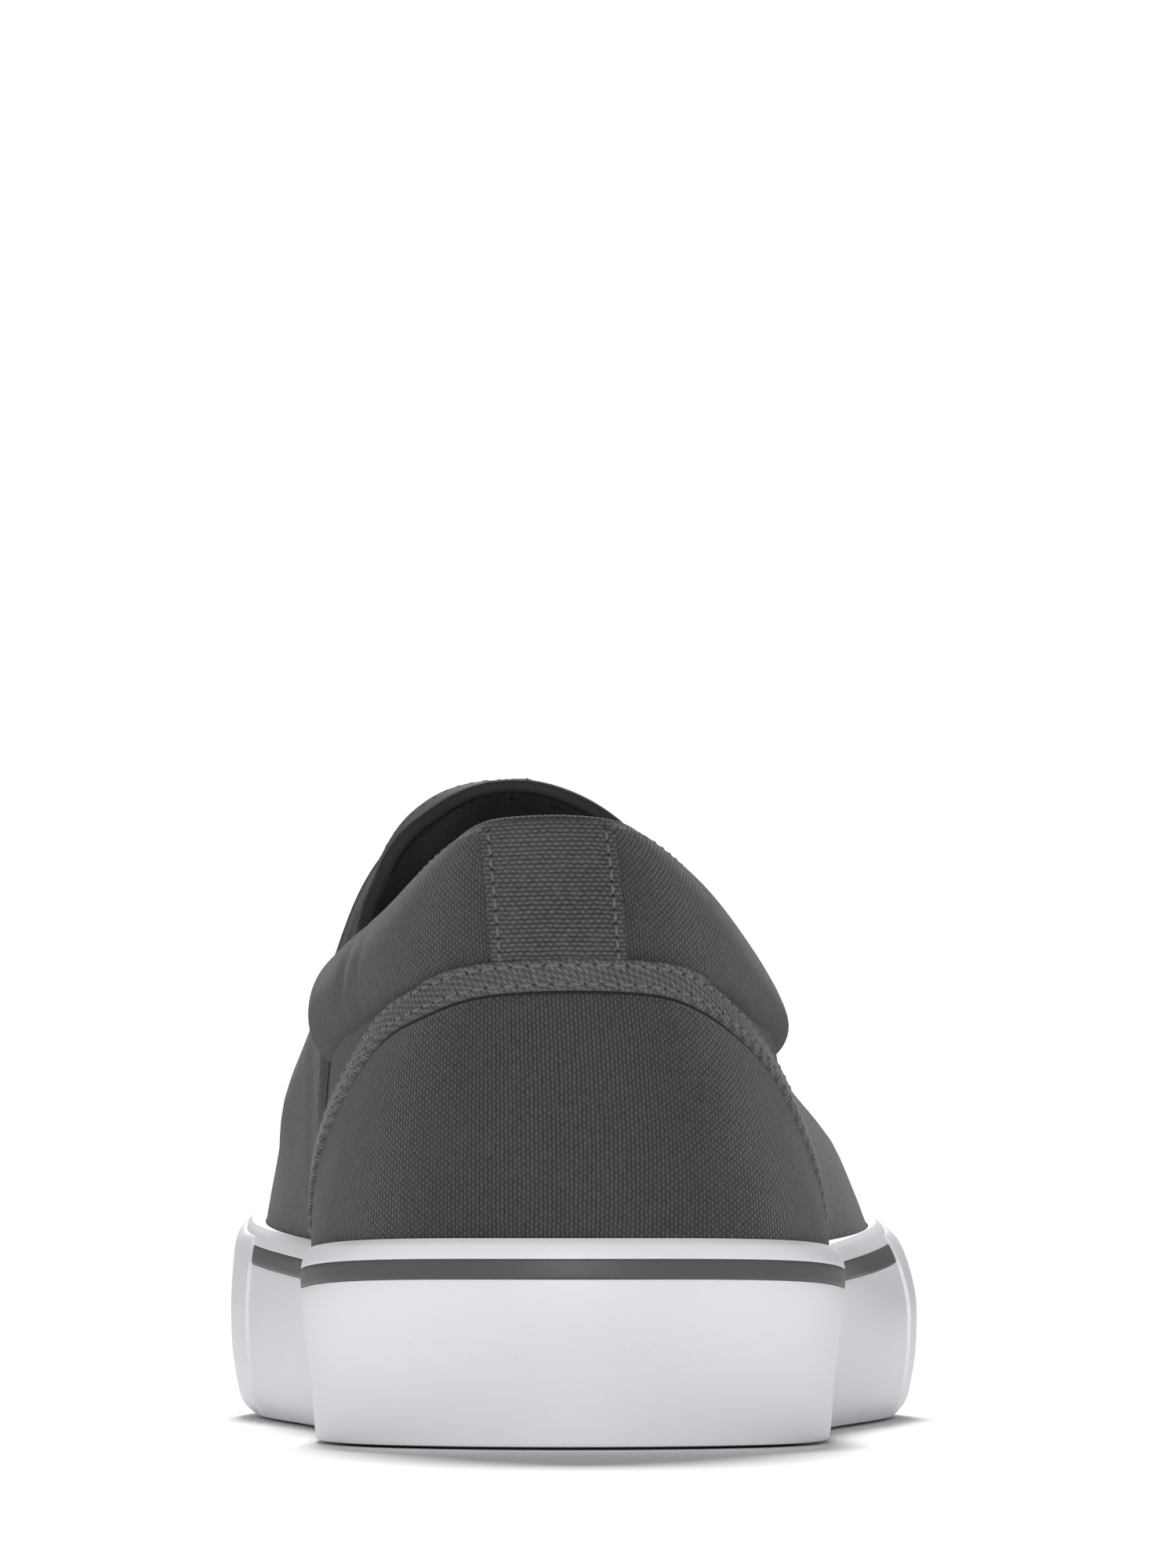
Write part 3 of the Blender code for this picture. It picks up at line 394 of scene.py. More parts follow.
top_height = np.minimum(line_height(1, LINE_Q), INSTEP_HEIGHT)
top_height = eased_line(top_height) - TURN * (1 - ease(abs(LINE_Q), *GORE_SPAN))
COLLAR_MARKS = np.ones(len(MARKS))
COLLAR_MARKS[FRONT:-FRONT] = np.where(abs(LINE_Q) < THROAT, rib_at_height(LINE_Q, top_height), 1.0)
front = ease(abs(MARKS), GORE_SPAN[0], THROAT + 0.02)
seam_height = np.full(len(MARKS), float(line_height(2, 0.41)))
seam_height[FRONT:-FRONT] = eased_line(line_height(2, LINE_Q))
SEAM_MARKS = rib_at_height(MARKS, seam_height) * (1 - front) + FOREFOOT_SEAM * COLLAR_MARKS * front
panel_height = line_height(3, LINE_Q) + read(PANEL_TRIM, 1, LINE_Q, steady_slopes)
PANEL_MARKS = rib_at_height(LINE_Q, eased_line(panel_height, 0.014))


def collar_t(q):
    return np.interp(q, MARKS, COLLAR_MARKS)


def seam_t(q):
    return np.interp(q, MARKS, SEAM_MARKS)


def swell(q, t):
    """Padding's share, the root of 1 less (2 w - 1) squared, with w from seam to collar."""
    low, high = seam_t(q), collar_t(q)
    w = np.clip((t - low) / (high - low), 0, 1)
    return read(LINES, 4, abs(q)) * np.sqrt(np.clip(1 - (2 * w - 1) ** 2, 0, 1)), w


# Creases and fuller places: middle and half width in q, then in t as a share of the collar,
# and the depth in millimetres, where minus is outwards
CREASES = (
    (-0.268, 0.017, 0.44, 0.16, 0.60),   # inner quarter, where the tape pulls the canvas
    (-0.190, 0.008, 0.86, 0.10, 0.60),   # inner padding, two soft dents
    (-0.163, 0.007, 0.83, 0.09, 0.45),
    (0.268, 0.016, 0.38, 0.16, 0.50),    # outer quarter
    (0.200, 0.066, 0.93, 0.12, 0.70),    # outer padding, pressed flatter along the edge
    (-0.540, 0.090, 0.38, 0.070, -1.70),  # inner instep, fuller
    (-0.440, 0.012, 0.30, 0.12, 0.70),   # a fold beside it
    (0.235, 0.050, 0.78, 0.070, -1.20),  # outer padding, sagging over its seam
    (0.505, 0.070, 0.44, 0.060, 1.90),   # outer instep, drawn in over a fuller side
    (0.540, 0.070, 0.36, 0.050, -0.50),
    (0.600, 0.016, 0.60, 0.30, 0.50),    # where the toes bend, both sides
    (-0.600, 0.016, 0.60, 0.30, 0.50),
)
# Inner side of the throat, drawn in by the elastic, with the same five numbers
THROAT_PULL = (-0.380, 0.042, 1.00, 0.42, 2.90)
PULL_ENDS = (0.78, 1.00)             # the pull fades over this part of the rib, up to the ridge


def crease(q, t):
    """Sum of troughs, each a bell in q times a bell in t, and the throat's pull."""
    share = t / collar_t(q)

    def bell(place, width, level, reach, depth):
        return depth * np.exp(-((q - place) / width) ** 2 - ((share - level) / reach) ** 2)

    return sum(bell(*row) for row in CREASES) + bell(*THROAT_PULL) * (1 - ease(t, *PULL_ENDS))


def upper_outside(q, t, lift=0.0, creased=True):
    """The last moved out along its normal by the padding and the lift, less the creases."""
    share, _ = swell(q, t)
    out = PAD_OUT * share + lift - (crease(q, t) if creased else 0.0)
    return last(q, t) + normals(q, t) * out[:, None]


def upper_inside(q, t):
    """The last moved in by the wall and the inner padding; the wall thins to the turned edge."""
    share, w = swell(q, t)
    inwards = normals(q, t)
    inwards[:, 1] *= 1 - ease(w, 0.3, 0.8) * np.exp(-((abs(q) - THROAT) / 0.03) ** 2)
    wall = WALL + (EDGE - WALL) * ease(w, 0.93, 1.0)
    return last(q, t) - inwards * (wall + PAD_IN * share + crease(q, t))[:, None]


def on_grid(face, q, t, *more):
    """A surface function read at every place of a grid, with any further grids it needs."""
    more = [m.ravel() if isinstance(m, np.ndarray) else m for m in more]
    return face(q.ravel(), t.ravel(), *more).reshape(*q.shape, 3)


print("collar at the heel", round(float(last(np.zeros(1), collar_t(np.zeros(1)))[0, 2]), 1), "mm")

# %% [markdown]
# ## From a grid to a piece
# A grid of points becomes a mesh in one step: the faces are worked out with whole arrays of
# point numbers. The piece also gets a map called thread. It holds millimetres along and
# across the cloth, so a weave drawn on it follows the panel instead of the world.

# %% Grid helpers
MILLIMETRE = 0.001                   # in metres
MERGE = 2e-6                         # points closer than this, in metres, become one


def bind(name, points, faces, finishes, finish_of=None, thread=None, sharp=50.0):
    """Puts points and quads into a mesh, merges its seams, and turns its faces outwards.
    thread holds one (u, v) pair for each corner of each face."""
    mesh = bpy.data.meshes.new(name)
    faces = np.asarray(faces)
    mesh.vertices.add(len(points))
    mesh.vertices.foreach_set("co", (np.asarray(points, float) * MILLIMETRE).ravel())
    mesh.loops.add(faces.size)
    mesh.loops.foreach_set("vertex_index", faces.ravel().astype(np.int32))
    mesh.polygons.add(len(faces))
    starts = np.arange(0, faces.size, faces.shape[1], dtype=np.int32)
    mesh.polygons.foreach_set("loop_start", starts)
    mesh.update(calc_edges=True)
    for finish in finishes:
        mesh.materials.append(finish)
    if finish_of is not None:
        mesh.polygons.foreach_set("material_index", np.asarray(finish_of, np.int32))
    if thread is not None:
        uv = mesh.uv_layers.new(name="thread").data
        uv.foreach_set("uv", np.asarray(thread, np.float32).ravel())
    shape = bmesh.new()
    shape.from_mesh(mesh)
    bmesh.ops.remove_doubles(shape, verts=shape.verts, dist=MERGE)
    bmesh.ops.dissolve_degenerate(shape, edges=shape.edges, dist=1e-7)
    bmesh.ops.recalc_face_normals(shape, faces=shape.faces)
    shape.to_mesh(mesh)
    shape.free()
    mesh.shade_smooth()
    mesh.set_sharp_from_angle(angle=math.radians(sharp))
    made = bpy.data.objects.new(name, mesh)
    bpy.context.scene.collection.objects.link(made)
    print(name, len(mesh.polygons), "faces")
    return made


def quads(columns, rows, closed_columns=False, closed_rows=False):
    """Point numbers of every cell of a grid whose points run up each column in turn."""
    k = np.arange(columns if closed_columns else columns - 1)[:, None]
    j = np.arange(rows if closed_rows else rows - 1)[None, :]
    here, there = k * rows, (k + 1) % columns * rows
    up = (j + 1) % rows
    return np.stack([here + j, there + j, there + up, here + up], axis=-1)


def arc(points):
    """Length run along a row of points, starting from 0."""
    step = np.linalg.norm(np.diff(points, axis=0), axis=-1)
    return np.concatenate([np.zeros((1,) + step.shape[1:]), np.cumsum(step, axis=0)])


def climb(grid):
    """Length run up each column of a grid of points."""
    return arc(grid.transpose(1, 0, 2)).T


def pair(u, v):
    """A thread map from one row or grid for each direction."""
    return np.stack(np.broadcast_arrays(u, v), axis=-1)


def wear(piece, node):
    """The piece stands for a node and rides on the shoe, and the node's own solid is hidden."""
    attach(piece, "root")
    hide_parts(node)
    return piece


print("helpers ready")

# %% [markdown]
# ## Writing a finish
# A shader is a sum, so it reads best as one. The class below wraps a socket: adding or
# multiplying two of them adds the Math node. Everything else comes from one method that
# takes a node's type, its settings and its inputs.

# %% Finish helpers
class Wire:
    """One output socket that works with +, -, * and numbers on either side."""

    def __init__(self, finish, socket):
        self.finish, self.socket = finish, socket

    def sum(self, operation, a, b=0.0):
        return self.finish.node("ShaderNodeMath", {"operation": operation}, {0: a, 1: b})

    def __add__(self, other): return self.sum("ADD", self, other)
    def __radd__(self, other): return self.sum("ADD", other, self)
    def __sub__(self, other): return self.sum("SUBTRACT", self, other)
    def __rsub__(self, other): return self.sum("SUBTRACT", other, self)
    def __mul__(self, other): return self.sum("MULTIPLY", self, other)
    def __rmul__(self, other): return self.sum("MULTIPLY", other, self)
    def __abs__(self): return self.sum("ABSOLUTE", self)
    def sine(self): return self.sum("SINE", self)


class Finish:
    """A material, with the few nodes that its cloth or rubber needs."""

    def __init__(self, name, roughness=0.8, **uniform):
        self.material = bpy.data.materials.new(name)
        self.material.use_nodes = True
        self.tree = self.material.node_tree
        self.shader = self.tree.nodes["Principled BSDF"]
        self.put(self.shader, {"Roughness": roughness, **uniform})

    def put(self, node, inputs):
        for key, value in inputs.items():
            if isinstance(value, Wire):
                self.tree.links.new(value.socket, node.inputs[key])
            else:
                node.inputs[key].default_value = value

    def node(self, kind, settings=None, inputs=None, output=0):
        made = self.tree.nodes.new(kind)
        for key, value in (settings or {}).items():
            setattr(made, key, value)
        self.put(made, inputs or {})
        return Wire(self, made.outputs[output])

    def threads(self):
        """Millimetres along and across the cloth."""
        uv = self.node("ShaderNodeUVMap", {"uv_map": "thread"})
        made = self.node("ShaderNodeSeparateXYZ", None, {0: uv})
        return made, Wire(self, made.socket.node.outputs[1])

    def place(self):
        """Object coordinates, in metres."""
        return self.node("ShaderNodeTexCoord", output=3)

    def height(self):
        """Height above the floor, in metres."""
        return self.node("ShaderNodeSeparateXYZ", None, {0: self.place()}, output=2)

    def noise(self, scale, detail=2.0, on=None):
        return self.node("ShaderNodeTexNoise", None,
                         {"Vector": on or self.place(), "Scale": scale, "Detail": detail})

    def clamp(self, value, low, high, to_low=0.0, to_high=1.0):
        return self.node("ShaderNodeMapRange", {"clamp": True},
                         {0: value, 1: low, 2: high, 3: to_low, 4: to_high})

    def blend(self, factor, a, b):
        return self.node("ShaderNodeMix", {"data_type": "RGBA"}, {0: factor, 6: a, 7: b}, output=2)

    def relief(self, height, distance, strength=1.0):
        bump = self.node("ShaderNodeBump", None,
                         {"Height": height, "Distance": distance, "Strength": strength})
        self.put(self.shader, {"Normal": bump})

    def colour(self, wire):
        self.put(self.shader, {"Base Color": wire})


print("finish helpers ready")

# %% [markdown]
# ## Canvas
# Canvas is a plain weave: each yarn goes over one and under the next. Its upright yarns are
# thicker, so it shows fine ribs with a row of grains along each. The product of two sines
# gives the over and under, the size of one sine gives the round rib, and a little noise makes
# the yarns uneven. The colour follows that height: painted shade darkens the valleys between
# the yarns and a painted highlight lightens their crowns.

# %% Canvas
def weave(finish, across, along, rib_share=0.5, level=False):
    """Height of a plain weave: a rounded rib, and crowns that change place from rib to rib.
    level lays the ribs across the cloth."""
    u, v = finish.threads()
    u, v = (v, u) if level else (u, v)
    wander = finish.noise(420.0, 2.0) - 0.5
    x = (u + wander * across * 0.55) * (math.pi / across)
    y = (v + wander * along * 0.8) * (math.pi / along)
    x_wave, y_wave = x.sine(), y.sine()
    crown = x_wave * y_wave * 0.5 + 0.5
    return abs(x_wave) * rib_share + crown * (1 - rib_share)


def cloth(name, dark, light, across, along, relief, rib_share=0.5, roughness=0.92, sheen=0.12,
          level=False):
    """Woven cloth: painted shade in the valleys, painted highlight on the yarns, uneven dye, soft
    fuzz.
    """
    finish = Finish(name, roughness, **{"Sheen Weight": sheen, "Sheen Roughness": 0.4,
                                        "Specular IOR Level": 0.2})
    height = weave(finish, across, along, rib_share, level)
    yarn = finish.noise(1300.0, 3.0)
    dye = finish.noise(42.0, 3.0)
    # painted shade and highlight: darker in the weave's valleys, lighter on its crowns, plus random
    # yarn and dye tones
    weave_shade_and_dye = height * 0.75 + yarn * 0.45 + dye * 0.30 - 0.40
    finish.colour(finish.blend(finish.clamp(weave_shade_and_dye, 0.0, 0.75), (*dark, 1), (*light, 1)))
    finish.relief(height + yarn * 0.5, relief)
    return finish.material


CANVAS = cloth("canvas", (0.012, 0.012, 0.0117), (0.089, 0.089, 0.087), 0.62, 0.44, 0.00024,
               0.55, sheen=0.22)
WEBBING = cloth("webbing", (0.012, 0.0125, 0.012), (0.122, 0.122, 0.118), 0.68, 0.54, 0.00028,
                level=True)
LINING = cloth("lining", (0.003, 0.003, 0.0029), (0.013, 0.0125, 0.012), 0.50, 0.50, 0.00012)
ELASTIC = cloth("elastic", (0.018, 0.018, 0.0185), (0.098, 0.098, 0.100), 0.9, 3.5, 0.00022, 0.8)
print("cloths", [m.name for m in (CANVAS, WEBBING, LINING, ELASTIC)])

# %% [markdown]
# ## The upper, in two pieces
# The canvas body reaches from the sole to the seam under the padding, and the vamp in front
# closes over the ridge. The padded collar is a foam cushion between canvas and lining.
# Both come from one grid that runs up the outside, over the edge and down the inside, so
# they meet exactly at the seam, and each has a real wall. Foam in a sewn tube keeps its
# section by itself, so its swell is shaped directly instead of being simulated.

# %% Grid of the upper
FOOT, PAD, ROLL = 30, 30, 6          # rows below the seam, on the padding, round the edge
BELOW_GORE = 18                      # rows of the first that lie below the elastic
GORE_FOOT = 4 / 7                    # share of the height below the seam where the elastic starts
quarter = np.concatenate([np.linspace(0, GORE_SPAN[0], 100, endpoint=False),
                          np.linspace(*GORE_SPAN, 16, endpoint=False),
                          np.linspace(GORE_SPAN[1], THROAT, 36, endpoint=False)])
half = np.concatenate([quarter, THROAT + (1 - THROAT) * np.linspace(0, 1, 121) ** 1.1])
AROUND = np.concatenate([half, -half[-2:0:-1]])
COUNT = len(AROUND)
foot_row = np.unique(np.concatenate([np.linspace(0, GORE_FOOT, BELOW_GORE),
                                     np.linspace(GORE_FOOT, 1, FOOT - BELOW_GORE + 1)]))
pad_row = 0.5 - 0.5 * np.cos(np.linspace(0, math.pi, PAD))
LEAN_AT_SEAM = 1 / 3                 # share of the lean at the seam under the padding
LEAN_REACH = 0.045                   # the lean fades over this much of q on either side


def lean(q, share):
    """The grid leans near the gore, so that the elastic widens towards the collar."""
    off = abs(q) - sum(GORE_SPAN) / 2
    return q + np.sign(q) * GORE_FLARE * off * np.exp(-(off / LEAN_REACH) ** 2) * share


def upper_places(q):
    """(q, t) of the grid: rows spread from sole to seam, then from seam to collar."""
    above_foot = np.clip((foot_row - GORE_FOOT) / (1 - GORE_FOOT), 0, 1)
    lean_share = np.concatenate([above_foot * LEAN_AT_SEAM,
                                 LEAN_AT_SEAM + (1 - LEAN_AT_SEAM) * pad_row[1:]])
    leaning = (abs(q) < THROAT - 1e-6)[:, None]
    places = np.where(leaning, lean(q[:, None], lean_share[None, :]), q[:, None])
    low, high = (line(places.ravel()).reshape(places.shape) for line in (seam_t, collar_t))
    below = low[:, :len(foot_row)] * foot_row
    above = low[:, len(foot_row):] + (high - low)[:, len(foot_row):] * pad_row[1:]
    return places, np.concatenate([below, above], axis=1)


UPPER_Q, UPPER_T = upper_places(AROUND)
outside = on_grid(upper_outside, UPPER_Q, UPPER_T)
inside = on_grid(upper_inside, UPPER_Q, UPPER_T)
inside[:, 0, 2] = outside[:, 0, 2]
ROWS = outside.shape[1]
SEAM_ROW = len(foot_row) - 1
print("upper grid", COUNT, "by", ROWS)

# %% [markdown]
# ## The turned edge
# Cloth can't end in a knife edge. The canvas is folded over the lining, so the edge is a half
# round. Its direction is square to the edge and to the surface, which also works at the
# throat, where the edge crosses the shoe instead of following it.

# %% Turned edge
def turned_edge(outer_end, inner_end):
    """Half circles from the outer to the inner end of each wall, ROLL points on each, along a
    closed edge."""
    tangent = np.roll(outer_end, -1, axis=0) - np.roll(outer_end, 1, axis=0)
    away = unit(np.cross(tangent, inner_end - outer_end))
    middle, half_wall = (outer_end + inner_end) / 2, (outer_end - inner_end) / 2
    radius = np.linalg.norm(half_wall, axis=1)[:, None]
    return np.stack([middle + half_wall * math.cos(a) + away * radius * math.sin(a)
                     for a in np.linspace(0, math.pi, ROLL + 2)[1:-1]], axis=1)


edge_order = np.where((AROUND >= -THROAT) & (AROUND < THROAT))[0]
edge_order = edge_order[np.argsort(AROUND[edge_order])]
rolled = turned_edge(outside[edge_order, -1], inside[edge_order, -1])
roll = np.repeat(outside[:, -1:, :], ROLL, axis=1)
roll[edge_order] = rolled
roll[AROUND == THROAT] = rolled[0]
profile = np.concatenate([outside, roll, inside[:, ::-1]], axis=1)
print("collar edge points", len(edge_order))

# %% [markdown]
# ## Which cells belong to which piece
# The grid covers everything. Canvas body and padding take their own cells, and the notch for
# the elastic takes none. Wherever a piece ends, a narrow wall joins its outer face to its
# inner face.

# %% Pieces from the grid
def cut_piece(name, cells, edge_cells):
    """Faces of the chosen cells on both sides and of the turned edge, and walls where the
    piece ends."""
    total, middle = profile.shape[1], ROWS + ROLL // 2
    chosen = np.zeros((COUNT, total), bool)
    chosen[:, :ROWS - 1] = cells
    chosen[:, ROWS - 1:ROWS + ROLL] = edge_cells[:, None]
    chosen[:, ROWS + ROLL:total - 1] = cells[:, ::-1]
    chosen[:, total - 1] = cells[:, 0]

    def wall(k, j, next_k, next_j):
        """From an edge of the outer face to the same edge of the inner face."""
        corners = ((k, j), (next_k, next_j), (next_k, total - 1 - next_j), (k, total - 1 - j))
        return np.stack([a % COUNT * total + b for a, b in corners], axis=1)

    faces = [quads(COUNT, total, closed_columns=True, closed_rows=True)[chosen]]
    solid = chosen[:, :middle - 1]
    for step in (0, 1):
        # along a column, where the neighbour's cell is empty
        k, j = np.nonzero(solid & ~np.roll(solid, 1 - 2 * step, axis=0))
        faces.append(wall(k + step, j, k + step, j + 1))
    k, j = np.nonzero(cells[:, 1:] ^ cells[:, :-1])
    faces.append(wall(k, j + 1, k + 1, j + 1))
    faces = np.concatenate(faces)
    lined = np.zeros(len(faces), int)
    lined[:chosen.sum()] = np.nonzero(chosen)[1] > middle
    used, index = np.unique(faces, return_inverse=True)
    return bind(name, profile.reshape(-1, 3)[used], index.reshape(faces.shape),
                [CANVAS, LINING], lined, full_map.reshape(-1, 2)[faces.ravel()])


next_q = np.roll(AROUND, -1)
low_q, high_q = np.minimum(abs(AROUND), abs(next_q)), np.maximum(abs(AROUND), abs(next_q))
gore_column = (low_q > GORE_SPAN[0] - 1e-9) & (high_q < GORE_SPAN[1] + 1e-9)
gore_row = int(np.argmin(abs(foot_row - GORE_FOOT)))
everything = np.ones((COUNT, ROWS - 1), bool)
everything[gore_column, gore_row:] = False
open_edge = high_q < THROAT + 1e-9
padded_cells = np.zeros_like(everything)
padded_cells[(high_q < GORE_SPAN[0] + 1e-9), SEAM_ROW:] = True
print("gore starts in row", gore_row, "of", SEAM_ROW)

# %% [markdown]
# ## Thread directions
# Round the heel the yarns stand upright, so the map measures round the shoe and up each rib.
# The vamp is cut flat and pulled over the toe, so its map unrolls each rib from the ridge
# in the direction in which the rib leaves it.

# %% Thread map
def quarter_thread():
    middle = last(AROUND, seam_t(AROUND) * 0.6)
    run = arc(middle)
    whole = run[-1] + np.linalg.norm(middle[0] - middle[-1])
    return pair(np.where(AROUND >= 0, run, run - whole)[:, None], climb(outside))


def vamp_thread():
    top = outside[:, -1]
    reach = unit((outside[:, 0] - top)[:, :2])
    down = climb(outside[:, ::-1])[:, ::-1]
    return pair(reach[:, :1] * down, top[:, 1:2] + reach[:, 1:] * down)


ROLL_RUN = 2.3                       # mm of cloth round the turned edge
front_columns = abs(AROUND) >= THROAT - 1e-9
flat_map = np.where(front_columns[:, None, None], vamp_thread(), quarter_thread())
round_edge = np.linspace(0, ROLL_RUN, ROLL)[None, :, None] * (0, 1)
edge_map = np.repeat(flat_map[:, -1:], ROLL, axis=1) + round_edge
full_map = np.concatenate([flat_map, edge_map, flat_map[:, ::-1]], axis=1)

vamp_edge = open_edge & (low_q > GORE_SPAN[1] - 1e-9)
canvas_body = cut_piece("canvas_body", everything & ~padded_cells, vamp_edge)
collar_pad = cut_piece("collar_pad", padded_cells, high_q < GORE_SPAN[0] + 1e-9)
wear(canvas_body, "upper")
wear(collar_pad, "upper")

# %% [markdown]
# ## Panels that lie on the upper
# The heel panel, its tape and the heel strip are cloth sewn on top. Each is a small patch
# with an outer and an inner face, both offsets of the upper, and a soft rounded rim: the
# outer face drops towards the inner one over its last half millimetre.

# %% Patch helper
def patch(name, outer, inner, finish, thread):
    """Two grids of points joined round their rim."""
    columns, rows = outer.shape[:2]
    grid = quads(columns, rows).reshape(-1, 4)
    back = columns * rows
    k, j = np.arange(columns), np.arange(rows)
    rims = [k * rows, (columns - 1) * rows + j, (k * rows + rows - 1)[::-1], j[::-1]]
    walls = [np.stack([r[:-1], r[1:], r[1:] + back, r[:-1] + back], axis=1) for r in rims]
    faces = np.concatenate([grid, grid[:, ::-1] + back] + walls)
    points = np.concatenate([outer.reshape(-1, 3), inner.reshape(-1, 3)])
    both = np.concatenate([thread.reshape(-1, 2)] * 2)
    return bind(name, points, faces, [finish], None, both[faces.ravel()])


def quarter_round(distance, radius):
    """Height of a rounded rim at a distance from it: 0 on the rim, 1 past the radius."""
    return np.sqrt(1 - np.clip(1 - distance / radius, 0, 1) ** 2)


def rounded(share, width, thickness, radius):
    """Thickness across a patch: full inside, and a quarter circle at both rims."""
    to_rim = np.minimum(share, 1 - share) * width
    return thickness * (0.35 + 0.65 * quarter_round(to_rim, radius))


def rim_rows(n, width, radius):
    """Rows from 0 to 1, closer together over the rounded rims."""
    edge = np.array([0.0, 0.15, 0.4, 0.7, 1.0]) * radius / width
    return np.unique(np.concatenate([edge, np.linspace(edge[-1], 1 - edge[-1], n), 1 - edge]))


print("patch helper ready")

# %% [markdown]
# ## Heel panel
# The panel is the same canvas as the upper and stands straight on the rubber. It is pulled
# over a stiffener, so it is smooth and a little fuller than the canvas below it.

# %% Heel panel
def panel_foot(q, clearance=GAP):
    y = outline(q)[:, 1]
    return rib_at_height(q, rim(y) + spring(y) + clearance)


def panel_edge(q):
    return np.maximum(np.interp(q, LINE_Q, PANEL_MARKS), panel_foot(q, 4 * GAP))


PANEL_MIDDLE = 46.0                  # mm above the floor, where the cloth's run is measured
panel_q = np.linspace(-COUNTER_END, COUNTER_END, 141)
panel_low, panel_high = panel_foot(panel_q), panel_edge(panel_q)
panel_rows = np.concatenate([np.linspace(0, 0.95, 36), [0.965, 0.975, 0.983, 0.99, 0.995, 1.0]])
panel_t = panel_low[:, None] + (panel_high - panel_low)[:, None] * panel_rows
panel_grid = np.repeat(panel_q[:, None], len(panel_rows), axis=1)
panel_in = on_grid(upper_outside, panel_grid, panel_t, 0.1, False)
to_edge = np.linalg.norm(panel_in - panel_in[:, -1:], axis=2)
panel_lift = GAP + COUNTER * (0.15 + 0.85 * quarter_round(to_edge, 0.9))
panel_out = on_grid(upper_outside, panel_grid, panel_t, panel_lift, False)
panel_y = outline(panel_q)[:, 1]
panel_out[:, 0, 2] = panel_in[:, 0, 2] = rim(panel_y) + spring(panel_y) + 0.1
panel_run = arc(last(panel_q, rib_at_height(panel_q, np.full(len(panel_q), PANEL_MIDDLE))))
panel_thread = pair((panel_run - panel_run.max() / 2)[:, None], climb(panel_out))
wear(patch("heel_panel", panel_out, panel_in, CANVAS, panel_thread), "heel_counter")

# %% [markdown]
# ## Tape over the panel's edge
# A folded twill tape covers the panel's upper edge and runs down to the sole on both sides.
# It is carried along that edge: at each place a step square to the edge is worked out on the
# last, so the tape keeps its width where the edge turns. Two sewn furrows run along it.

# %% Tape
tape_q = np.linspace(-COUNTER_END, COUNTER_END, 281)
tape_t = panel_edge(tape_q)
TAPE_RIM, FURROW, FURROW_WIDTH = 0.7, 0.22, 0.35
TAPE_ROWS = rim_rows(13, TAPE_WIDTH, TAPE_RIM)
STITCH_LINES = (0.20, 0.80)


def beside_edge(distance):
    """(q, t) along the panel's edge, moved square to it by the distance: the two slopes of the
    last are solved for the change of (q, t) that makes this step. It stops at the sole."""
    q, t, d = tape_q, tape_t, 0.003
    by_q = (last(q + d, t) - last(q - d, t)) / (2 * d)
    by_t = (last(q, t + d) - last(q, t - d)) / (2 * d)
    direction = unit(by_q * np.gradient(q)[:, None] + by_t * np.gradient(t)[:, None])
    square = np.cross(normals(q, t), direction)
    ee, ff, gg, a, b = (np.sum(m * n, axis=1) for m, n in (
        (by_q, by_q), (by_q, by_t), (by_t, by_t), (square, by_q), (square, by_t)))
    scale = distance / (ee * gg - ff ** 2)
    q, t = q + (a * gg - b * ff) * scale, t + (b * ee - a * ff) * scale
    return q, np.maximum(t, panel_foot(q, 0.1))


def tape_place(share):
    """(q, t) along the tape, at a share of its width from the panel's edge."""
    return beside_edge(GAP + TAPE_WIDTH * share)


def tape_lift(share):
    """Rounded rims, and a furrow under each row of stitches."""
    furrow = sum(np.exp(-((share - line) * TAPE_WIDTH / FURROW_WIDTH) ** 2)
                 for line in STITCH_LINES)
    return GAP + rounded(share, TAPE_WIDTH, TAPE, TAPE_RIM) - FURROW * furrow


TAPE_CLOTH = cloth("twill_tape", (0.024, 0.025, 0.026), (0.150, 0.151, 0.154), 0.50, 0.90, 0.0002,
                   0.3, sheen=0.2)
tape_out, tape_in = (
    np.stack([upper_outside(*tape_place(s), lift(s), False) for s in TAPE_ROWS], axis=1)
    for lift in (tape_lift, lambda share: 0.1))
tape_run = arc(tape_out[:, 0])[:, None]
slant = TAPE_ROWS * TAPE_WIDTH
tape_thread = pair(tape_run + slant, tape_run - slant) * math.sqrt(0.5)
tape = patch("counter_tape_cloth", tape_out, tape_in, TAPE_CLOTH, tape_thread)
wear(tape, "counter_tape")

# %% [markdown]
# ## Heel strip
# A webbing strip covers the seam at the back of the collar. Its yarns are as thick one way
# as the other, which gives rows of round grains. It bends with the padding below it.

# %% Heel strip
STRIP_OFF = -1.4                     # the strip sits a little to the inner side of the middle
STRIP_ROW = 1.5                      # its stitches run this far inside its rims
STRIP_RIM, STRIP_FURROW = 0.6, 0.18
strip_shares = np.linspace(0.03, 0.965, 40)
strip_across = rim_rows(21, STRIP_WIDTH, STRIP_RIM)
low0, high0 = float(seam_t(0.0)), float(collar_t(0.0))
levels = low0 + (high0 - low0) * strip_shares
both = upper_outside(np.repeat([-0.004, 0.004], len(levels)), np.tile(levels, 2))
speed = np.linalg.norm(both[len(levels):] - both[:len(levels)], axis=1) / 0.008


def strip_place(across):
    """(q, t) up the strip, at a share of its width."""
    q = ((across - 0.5) * STRIP_WIDTH + STRIP_OFF) / speed
    height = line_height(2, q) * (1 - strip_shares) + line_height(1, q) * strip_shares
    return q, rib_at_height(q, height)


